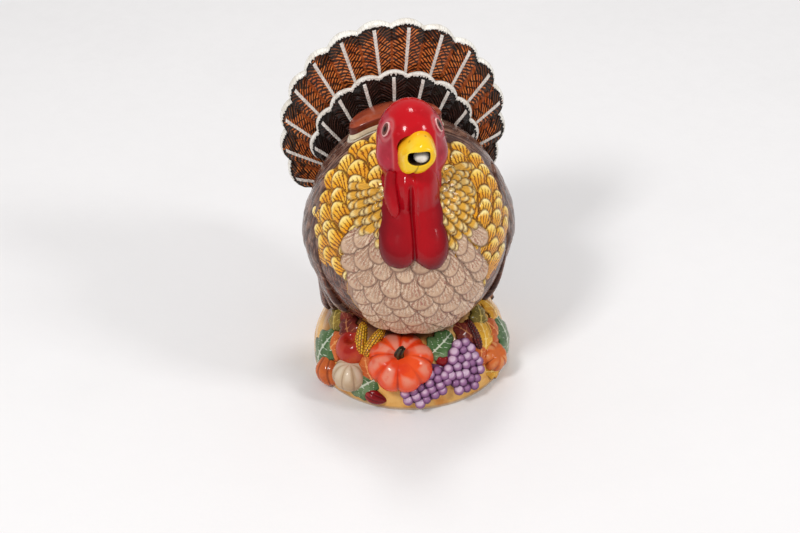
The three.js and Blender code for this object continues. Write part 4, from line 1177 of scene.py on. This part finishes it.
def lying(spot, length, end, middle):
    """Stops of a form that lies along the mound, and the way out of the mound"""
    point, axes = mound_place(*spot)
    stops = ((-length / 2, end), (0, middle), (length / 2, end))
    return [point + axes @ np.array([0, y, lift]) for y, lift in stops], axes[:, 2]


def pumpkin_skin(spot, radius, lobes=8, flat=0.8, depth=0.1, lean=FRUIT_LEAN, broad=1.0):
    point, axes = mound_place(*spot)
    way = directions(rows=60, columns=108)
    side, around = round_axis(way)
    lobe = np.abs(np.sin(around * lobes / 2))
    rib = 1 - depth * (1 - lobe ** 0.75) * side ** 0.6
    dimple = 1 - 0.22 * way[..., 2] ** 8
    shape = way * np.stack([rib * broad, rib, flat * dimple], -1) * radius
    points = shape @ (axes @ turn_x(-lean)).T + point
    return skin(points, groove=(1 - lobe ** 0.5) * side ** 0.5, up=way[..., 2])


def stem_skin(spot, radius):
    point, axes = mound_place(*spot)
    axis = axes @ turn_x(-FRUIT_LEAN)[:, 2]
    foot = point + axis * (radius * 0.8 * 0.78 - 1.25)
    bend = foot + axis * 3.0
    tip = bend + axis * 2.5 + np.array([2.0, 0, 2.0])

    def half(along):
        return 2 * lerp(1.4, 0.8, along)

    points, along, angle = sweep([foot, bend, tip], half, half, axes[:, 0], rows=40, columns=40)
    ribs = np.cos(angle * 5 + along * 3)
    return skin(swell(points, 0.25 * ribs), ribs=ribs)


def gourd_skin(spot, half, length, profile, lift):
    stops, up = lying(spot, length, half * lift, half * (lift + 0.2))

    def section(along):
        return half * profile(along)

    points, along, angle = sweep(stops, section, section, up, rows=60, columns=64)
    groove = np.abs(np.cos(angle * 4)) ** 8
    return skin(swell(points, -GOURD_RIB * groove * oval(along)), groove=groove, up=along * 2 - 1)


def apple_skin(spot, radius, sink=0.3):
    point, axes = mound_place(*spot)
    way = directions(rows=60, columns=80)
    side, around = round_axis(way)
    lobed = 1 + 0.03 * np.cos(5 * around) * (way[..., 2] < 0)
    shape = way * np.stack([lobed, lobed, 1 - 0.3 * hump(side, 0, 0.28)], -1) * radius
    points = shape @ (axes @ turn_x(-0.6)).T + point - axes[:, 2] * radius * sink
    return skin(points, groove=0.0, up=way[..., 2])


def grape_skins(spot, *rows):
    """A hidden heart and the grapes round it, in rows from the top"""
    point, axes = mound_place(*spot)
    pitch = GRAPE * 1.75
    row_pitch = pitch * 0.87
    half_rows = (len(rows) - 1) / 2 * row_pitch
    half_count = (max(rows) - 1) / 2 * pitch
    heart_half = np.array([half_count + 0.45 * pitch, half_rows + 0.45 * pitch, GRAPE * 0.8])
    skins = [skin(point + (directions(rows=36, columns=60) * heart_half) @ axes.T, bloom=0.0, tone=-0.4)]
    way = directions(rows=17, columns=24)
    # Painted highlight on the side of each grape that faces up and to the front
    bloom = np.clip(way @ np.array([-0.2, -0.5, 0.84]), 0, 1)
    for number, count in enumerate(rows):
        for index in range(count):
            wander = random.uniform(-0.5, 0.5, 3)
            x = (index - (count - 1) / 2) * pitch + 1.1 * wander[0]
            y = half_rows - number * row_pitch + 1.1 * wander[1]
            from_middle = (x / (half_count + pitch)) ** 2 + (y / (half_rows + pitch)) ** 2
            centre = point + axes @ np.array([x, y, GRAPE * lerp(0.95, 0.3, from_middle)])
            size = GRAPE * (0.97 + 0.2 * wander[2])
            skins.append(skin(centre + way * size, bloom=bloom, tone=wander[2]))
    return skins


def leaf_skin(spot, half, length, lift=0.7):
    stops, up = lying(spot, length, LEAF_THICKNESS * (lift - 1), LEAF_THICKNESS * lift)

    def width(along):
        teeth = 1 + 0.16 * np.cos(along * 6 * math.pi) + 0.04 * np.cos(along * 42 * math.pi)
        return half * oval(along ** 0.75) * teeth

    points, along, angle = sweep(stops, width, lambda t: LEAF_THICKNESS * oval(t), up,
                                 rows=58, columns=40, droop=1 / (2 * MOUND_RADIUS))
    across = np.cos(angle)
    aside = np.abs(across)
    branch = along * 5.5 - aside * 1.4
    side_veins = hump(branch - np.round(branch), 0, 0.1) * smooth(0.9 - aside, 0, 0.3)
    vein = np.maximum(hump(across, 0, 0.07), side_veins)
    top = np.sin(angle) > 0
    relief = np.where(top, 0.3 * vein + 0.35 * aside * (1 - vein), 0)
    return skin(swell(points, relief), vein=np.where(top, vein, 0), across=across)


def corn_skin(spot, half, length):
    stops, up = lying(spot, length, 0.0, half * 0.2)

    def profile(along):
        return half * oval(along) ** 0.6 * lerp(1, 0.72, along)

    points, along, angle = sweep(stops, profile, profile, up, rows=90, columns=72)
    column = np.floor(angle / math.pi * 6)
    kernels = np.abs(np.sin(angle * 6)) * np.abs(np.sin(along * 11 * math.pi + QUARTER_TURN * (column % 2)))
    return skin(swell(points, 0.42 * kernels ** 0.6), gap=1 - kernels ** 0.5,
                number=np.floor(along * 11) * 7 + column)


def nut_skins(spot, radius):
    """An acorn and its cap"""
    point, axes = mound_place(*spot)
    turn = axes @ turn_x(-0.9)
    centre = point - axes[:, 2] * radius * 0.1
    way = directions(rows=40, columns=60)
    up = way[..., 2]
    point_out = np.exp(-((1 - way[..., 2:]) / 0.02)) * [0, 0, -0.6]
    nut = way * np.array([0.92, 0.92, 1.12]) * radius - point_out
    bumps = 1 + 0.05 * np.cos(14 * round_axis(way)[1]) * np.sin(up * 16)
    low = np.minimum(way[..., 2:], -0.12)
    cap = np.concatenate([way[..., :2] * 1.06 * bumps[..., None], low * 1.12], -1) * radius
    return [skin(nut @ turn.T + centre, cap=0.0, up=up), skin(cap @ turn.T + centre, cap=1.0, up=up)]


def fruit_glaze(name, base, second_tone, light, groove_tint):
    """Two tones brushed together, darker in the grooves, with a painted highlight on the crowns"""
    g = Glaze(name, 0.15)
    g.color = g.dappled(base, second_tone, 90)
    # Painted highlight on the crowns of the lobes
    crown = g.times(g.span("groove", 0.35, 0.0), g.span("up", 0.05, 0.6))
    g.coat(light, crown, g.span(g.noise(75, 2, 0.3), 0.4, 0.52), 0.7)
    g.coat(groove_tint, g.span("groove", 0.35, 0.95), 0.8)
    g.coat(second_tone, g.span(g.noise(500), 0.58, 0.7), 0.25)
    return g.done()


def grape_glaze(name):
    g = Glaze(name, 0.15)
    # Each grape pales towards its painted highlight
    highlighted = g.ramp(g.plus("bloom", "tone", 0.5), (0.0, (94, 52, 86)), (0.35, (124, 78, 122)),
                     (0.8, (160, 114, 152)), (1.0, (206, 176, 198)))
    g.color = g.dappled(highlighted, (120, 74, 122), 260, 0.5, 0.75, 0.5)
    return g.done()


def leaf_glaze(name, base, light, dark, pale):
    g = Glaze(name, 0.18)
    g.color = g.dappled(base, light, 130)
    g.coat(dark, g.span(g.noise(260, 4, 0.6), 0.55, 0.75, 0.0, 0.7))
    g.coat(pale, g.span(g.sum("vein", g.noise(500, 2), 0.5), 0.5, 0.8), 0.85)
    g.coat(g.mix(0.5, dark, (20, 16, 10)), g.span(g.math("ABSOLUTE", "across"), 0.88, 0.98), 0.7)
    return g.done()


def corn_glaze(name, kernel, other, gap):
    g = Glaze(name, 0.17)
    tone = g.node("ShaderNodeTexWhiteNoise", {"W": "number"}, noise_dimensions="1D")
    g.color = g.mix(g.span(tone, 0.35, 0.65), kernel, other)
    g.coat(gap, g.span("gap", 0.3, 0.75), 0.9)
    return g.done()


def stem_glaze(name):
    g = Glaze(name)
    ribbed = g.mix(g.span("ribs", -0.6, 0.8), (26, 20, 12), (70, 56, 30))
    g.color = g.dappled(ribbed, (48, 58, 30), 220, 0.45, 0.7, 0.6)
    return g.done()


def nut_glaze(name):
    g = Glaze(name, 0.17)
    g.color = g.mix(g.span("up", -0.2, 0.9), (128, 74, 34), (176, 112, 56))
    g.coat(g.dappled((88, 56, 32), (60, 36, 20), 300), "cap")
    return g.done()


def pear(along):
    return oval(along) * lerp(1.05, 0.62, smooth(along, 0.4, 0.85))


def heart(along):
    return oval(along) * lerp(0.62, 1.05, along)


# Glazes of the fruit by name, each with the function that mixes it and its paints
FRUIT_GLAZES = {
    "pumpkin": (fruit_glaze, (234, 80, 32), (218, 58, 22), (226, 152, 128), (166, 38, 16)),
    "squash": (fruit_glaze, (206, 104, 48), (176, 76, 36), (224, 158, 104), (134, 58, 28)),
    "gourd": (fruit_glaze, (198, 172, 142), (180, 150, 118), (222, 204, 180), (156, 124, 96)),
    "apple": (fruit_glaze, (164, 34, 25), (190, 80, 34), (190, 70, 52), (112, 18, 22)),
    "berry": (fruit_glaze, (132, 20, 26), (104, 14, 20), (176, 60, 58), (80, 10, 14)),
    "husk": (fruit_glaze, (220, 170, 62), (190, 130, 40), (240, 206, 120), (120, 72, 24)),
    "leaf": (leaf_glaze, (72, 104, 60), (116, 138, 98), (40, 68, 34), (208, 214, 194)),
    "gold_leaf": (leaf_glaze, (226, 170, 52), (200, 132, 40), (120, 84, 26), (246, 214, 130)),
    "rust_leaf": (leaf_glaze, (206, 104, 48), (180, 78, 36), (128, 52, 26), (232, 160, 96)),
    "wine_leaf": (leaf_glaze, (128, 48, 36), (100, 34, 30), (70, 26, 20), (186, 118, 74)),
    "olive_leaf": (leaf_glaze, (112, 96, 40), (150, 122, 50), (62, 50, 24), (206, 180, 96)),
    "corn": (corn_glaze, (240, 188, 52), (206, 132, 40), (84, 44, 18)),
    "dark_corn": (corn_glaze, (112, 36, 30), (80, 26, 24), (44, 16, 14)),
    "grape": (grape_glaze,), "stem": (stem_glaze,), "nut": (nut_glaze,),
}

# Fallen leaves: name, spot, half width, length and tint
FALLEN_LEAVES = (
    ("gold", (50, 0.7, -25), 7, 20, "gold"), ("rust", (62, 0.62, 10), 7, 19, "rust"),
    ("wine", (38, 0.83, 25), 6, 17, "wine"), ("amber", (40, 0.55, -40), 6, 16, "rust"),
    ("left", (-64, 0.6, -20), 7, 20, "rust"), ("brown", (-62, 0.86, 50), 6, 17, "wine"),
    ("front", (-34, 0.55, 30), 6, 17, "rust"), ("low", (50, 0.2, 70), 5, 15, "gold"),
    ("side", (76, 0.75, -10), 6, 18, "gold"), ("olive", (-80, 0.84, 40), 6, 18, "olive"),
    ("moss", (60, 0.88, -45), 6, 17, "olive"), ("dark", (-72, 0.93, -60), 5, 16, "wine"),
    ("rear_gold", (172, 0.84, 70), 6, 18, "gold"), ("rear_rust", (-117, 0.8, -30), 6, 18, "rust"),
    ("rear_olive", (107, 0.78, 35), 6, 18, "olive"), ("rear_wine", (-178, 0.27, 40), 6, 17, "wine"),
    ("rear_amber", (126, 0.7, -25), 6, 17, "rust"),
)

# Fruit: name, CAD node, slot, glaze, shape, spot and the shape's own sizes
BIG_SPOT, BIG_RADIUS = (-14, 0.7), 16.5
FRUIT = (
    ("big_pumpkin", "pumpkin", "glaze_orange", "pumpkin", pumpkin_skin, BIG_SPOT,
     BIG_RADIUS, 8, 0.78, 0.1, FRUIT_LEAN, 1.08),
    ("big_pumpkin_stem", "pumpkin_stem", "glaze_dark_brown", "stem", stem_skin, BIG_SPOT, BIG_RADIUS),
    ("grape_bunch_front", "grapes_front", "glaze_purple", "grape", grape_skins, (0.5, 0.43, 22),
     3, 5, 6, 6, 4),
    ("grape_bunch_right", "grapes_right", "glaze_purple", "grape", grape_skins, (26.5, 0.54, -8),
     2, 3, 4, 5, 5, 4, 3),
    ("vine_leaf_front", "leaf_front", "glaze_green", "leaf", leaf_skin, (-37, 0.3, 130), 7.6, 18),
    ("vine_leaf_middle", "leaf_middle", "glaze_green", "leaf", leaf_skin, (15, 0.86, -60), 6.5, 17),
    ("vine_leaf_left", "leaf_left", "glaze_green", "leaf", leaf_skin, (-72, 0.45, -12), 10.5, 24),
    ("vine_leaf_right", "leaf_right", "glaze_green", "leaf", leaf_skin, (70, 0.43, -15), 10, 23),
    ("vine_leaf_rear_left", "leaf_rear_left", "glaze_green", "leaf", leaf_skin, (-158, 0.42, 60), 9, 21),
    ("vine_leaf_rear_right", "leaf_rear_right", "glaze_green", "leaf", leaf_skin, (148, 0.72, -60), 9, 21),
    ("white_gourd", "white_pumpkin", "glaze_cream", "gourd", pumpkin_skin, (-46, 0.39),
     10.0, 9, 0.9, 0.05, WHITE_GOURD_LEAN),
    ("red_berry", "strawberry", "glaze_crimson", "berry", gourd_skin, (-28, 0.19, 75), 5, 12, heart, -0.1),
    ("apple", "red_apple", "glaze_red", "apple", apple_skin, (-52, 0.68), 11, 0.48),
    ("squash_left", "orange_squash", "glaze_orange", "squash", gourd_skin, (-65, 0.27, 15),
     8, 21, pear, -0.35),
    ("corn_first", "corn_cob_first", "glaze_rust", "corn", corn_skin, (-46, 0.84, 21), 3.4, 17),
    ("corn_second", "corn_cob_second", "glaze_rust", "corn", corn_skin, (-35, 0.86, -18), 3.4, 17),
    ("corn_dark", "corn_cob_dark", "glaze_crimson", "dark_corn", corn_skin, (43, 0.78, -10), 3.4, 17),
    ("corn_husk_leaf", "corn_husk", "glaze_yellow", "husk", gourd_skin, (57, 0.68, -20), 4, 17, oval, -0.6),
    ("cranberry_round", "cranberry", "glaze_crimson", "berry", apple_skin, (14, 0.69), 4),
    ("pumpkin_right", "small_pumpkin", "glaze_orange", "squash", pumpkin_skin, (52, 0.38), 8.5),
    ("pumpkin_rear", "rear_pumpkin", "glaze_orange", "pumpkin", pumpkin_skin, (168, 0.49), 8.5),
    ("gourd_rear", "rear_gourd", "glaze_cream", "gourd", gourd_skin, (135, 0.35, 70), 8, 22, pear, -0.1),
    ("squash_rear", "rear_squash", "glaze_orange", "squash", gourd_skin, (-138, 0.55, -40),
     6.5, 18, pear, -0.2),
    ("nut_left", "acorn_left", "glaze_red_brown", "nut", nut_skins, (-128, 0.47), 5),
    ("nut_right", "acorn_right", "glaze_red_brown", "nut", nut_skins, (114, 0.47), 5),
)


def build_bird():
    piece("turkey_body", body_skin(), plumage(), ["body_pot"])
    rust = feather_glaze("tail_glaze", ((230, 132, 64), (200, 96, 40)), (64, 30, 17),
                         spacing=1.9, arcs=0.9, rim_width=1.25, blotched=0.3)
    fan = fan_skin(count=14, spacing=18.0, radius=59.5, rise=38.5, front=TAIL_FRONT,
                   thickness=TAIL_THICKNESS, relief=1.8, scallop=3.0, flare=4.0)
    piece("tail_feathers", fan, rust, ["tail_fan"])
    dark = feather_glaze("covert_glaze", ((72, 43, 35), (46, 26, 21)), (18, 10, 8),
                         spacing=1.7, arcs=0.3, rim_width=1.7, blotched=0.22)
    fan = fan_skin(count=9, spacing=20.7, radius=45.5, rise=26.5, front=COVERT_FRONT,
                   thickness=COVERT_THICKNESS, relief=1.5, scallop=2.6, flare=0.0)
    piece("tail_covert_feathers", fan, dark, ["tail_coverts"])
    piece("turkey_head", head_skin(), head_glaze(), ["head_spout"])
    eyes = eye_glaze()
    piece("eye_left", eye_skin(-1), eyes)
    piece("eye_right", eye_skin(1), eyes)
    piece("open_beak", beak_skins(), beak_glaze(), ["upper_beak", "lower_beak"])
    crimson = wattle_glaze()
    piece("wattle_lobes", wattle_skin(), crimson, ["wattle_left", "wattle_right"])
    piece("snood_lobe", snood_skin(), crimson, ["snood"])
    piece("pot_lid", lid_skin(), lid_glaze(), ["lid"], LID)
    quills = wing_glaze()
    piece("wing_left", wing_skins(-1), quills, ["left_wing"])
    piece("wing_right", wing_skins(1), quills, ["right_wing"])
    piece("loop_handle", handle_skin(), quills, ["rear_handle"])
    piece("mound_ground", mound_skin(), mound_glaze(), ["base_mound"])


def build_fruit():
    glazes = {name: mixed(name + "_glaze", *paints) for name, (mixed, *paints) in FRUIT_GLAZES.items()}
    for name, spot, half, length, tint in FALLEN_LEAVES:
        leaf = leaf_skin(spot, half, length, FALLEN_LIFT)
        piece("fallen_leaf_" + name, leaf, glazes[tint + "_leaf"])
    for name, node, slot, glaze, shape, spot, *sizes in FRUIT:
        piece(name, shape(spot, *sizes), glazes[glaze], [node])


# Camera at the photo's angle, floor and soft lamps: name, place and size in metres, and power

CAMERA_AZIMUTH = math.radians(-7)
CAMERA_ELEVATION = math.radians(35)
CAMERA_ROLL = math.radians(1.2)
CAMERA_DISTANCE = 963.3
CAMERA_TARGET = np.array([-4.9, 0.0, 56.7])
CAMERA_LENS = 81.0
CAMERA_CLIP = 0.05
FLOOR_HALF = 3.0
LAMP_TARGET = Vector((0, 0, 0.08))
LAMPS = (("key", (-0.8, -0.8, 1.3), 0.3, 11.8), ("fill", (1.0, -0.6, 1.0), 0.26, 5.5),
         ("top", (0.1, 0.5, 1.5), 0.3, 5.9))
WORLD_LEVEL = 0.46


def build_camera():
    level = math.cos(CAMERA_ELEVATION)
    back = Vector((math.sin(CAMERA_AZIMUTH) * level, -math.cos(CAMERA_AZIMUTH) * level,
                   math.sin(CAMERA_ELEVATION)))
    lens = bpy.data.cameras.new("camera")
    lens.lens = CAMERA_LENS
    lens.clip_start = CAMERA_CLIP
    camera = add_to_scene("camera", lens)
    facing = (-back).to_track_quat("-Z", "Y").to_matrix() @ Matrix.Rotation(-CAMERA_ROLL, 3, "Z")
    place = (Vector(CAMERA_TARGET) + back * CAMERA_DISTANCE) * MM
    camera.matrix_world = Matrix.Translation(place) @ facing.to_4x4()
    bpy.context.scene.camera = camera


def build_floor():
    mesh = bpy.data.meshes.new("floor")
    corners = [(x * FLOOR_HALF, y * FLOOR_HALF, 0) for x, y in ((-1, -1), (1, -1), (1, 1), (-1, 1))]
    mesh.from_pydata(corners, [], [(0, 1, 2, 3)])
    floor = add_to_scene("floor", mesh)
    paper = Glaze("floor_paper", 0.6)
    paper.shader.inputs["Coat Weight"].default_value = 0.0
    paper.color = paper.dappled((238, 236, 236), (236, 234, 234), 6)
    mesh.materials.append(paper.done())


def build_light():
    world = bpy.data.worlds.new("studio")
    bpy.context.scene.world = world
    world.use_nodes = True
    world.node_tree.nodes["Background"].inputs[0].default_value = (1.0, 1.0, 1.0, 1.0)
    world.node_tree.nodes["Background"].inputs[1].default_value = WORLD_LEVEL
    for name, place, size, power in LAMPS:
        lamp = bpy.data.lights.new(name, "AREA")
        lamp.size = size
        lamp.energy = power
        light = add_to_scene(name, lamp)
        light.location = place
        light.rotation_euler = (LAMP_TARGET - Vector(place)).to_track_quat("-Z", "Y").to_euler()
    bpy.context.scene.view_settings.view_transform = "Standard"


build_camera()
build_floor()
build_light()
build_bird()
build_fruit()
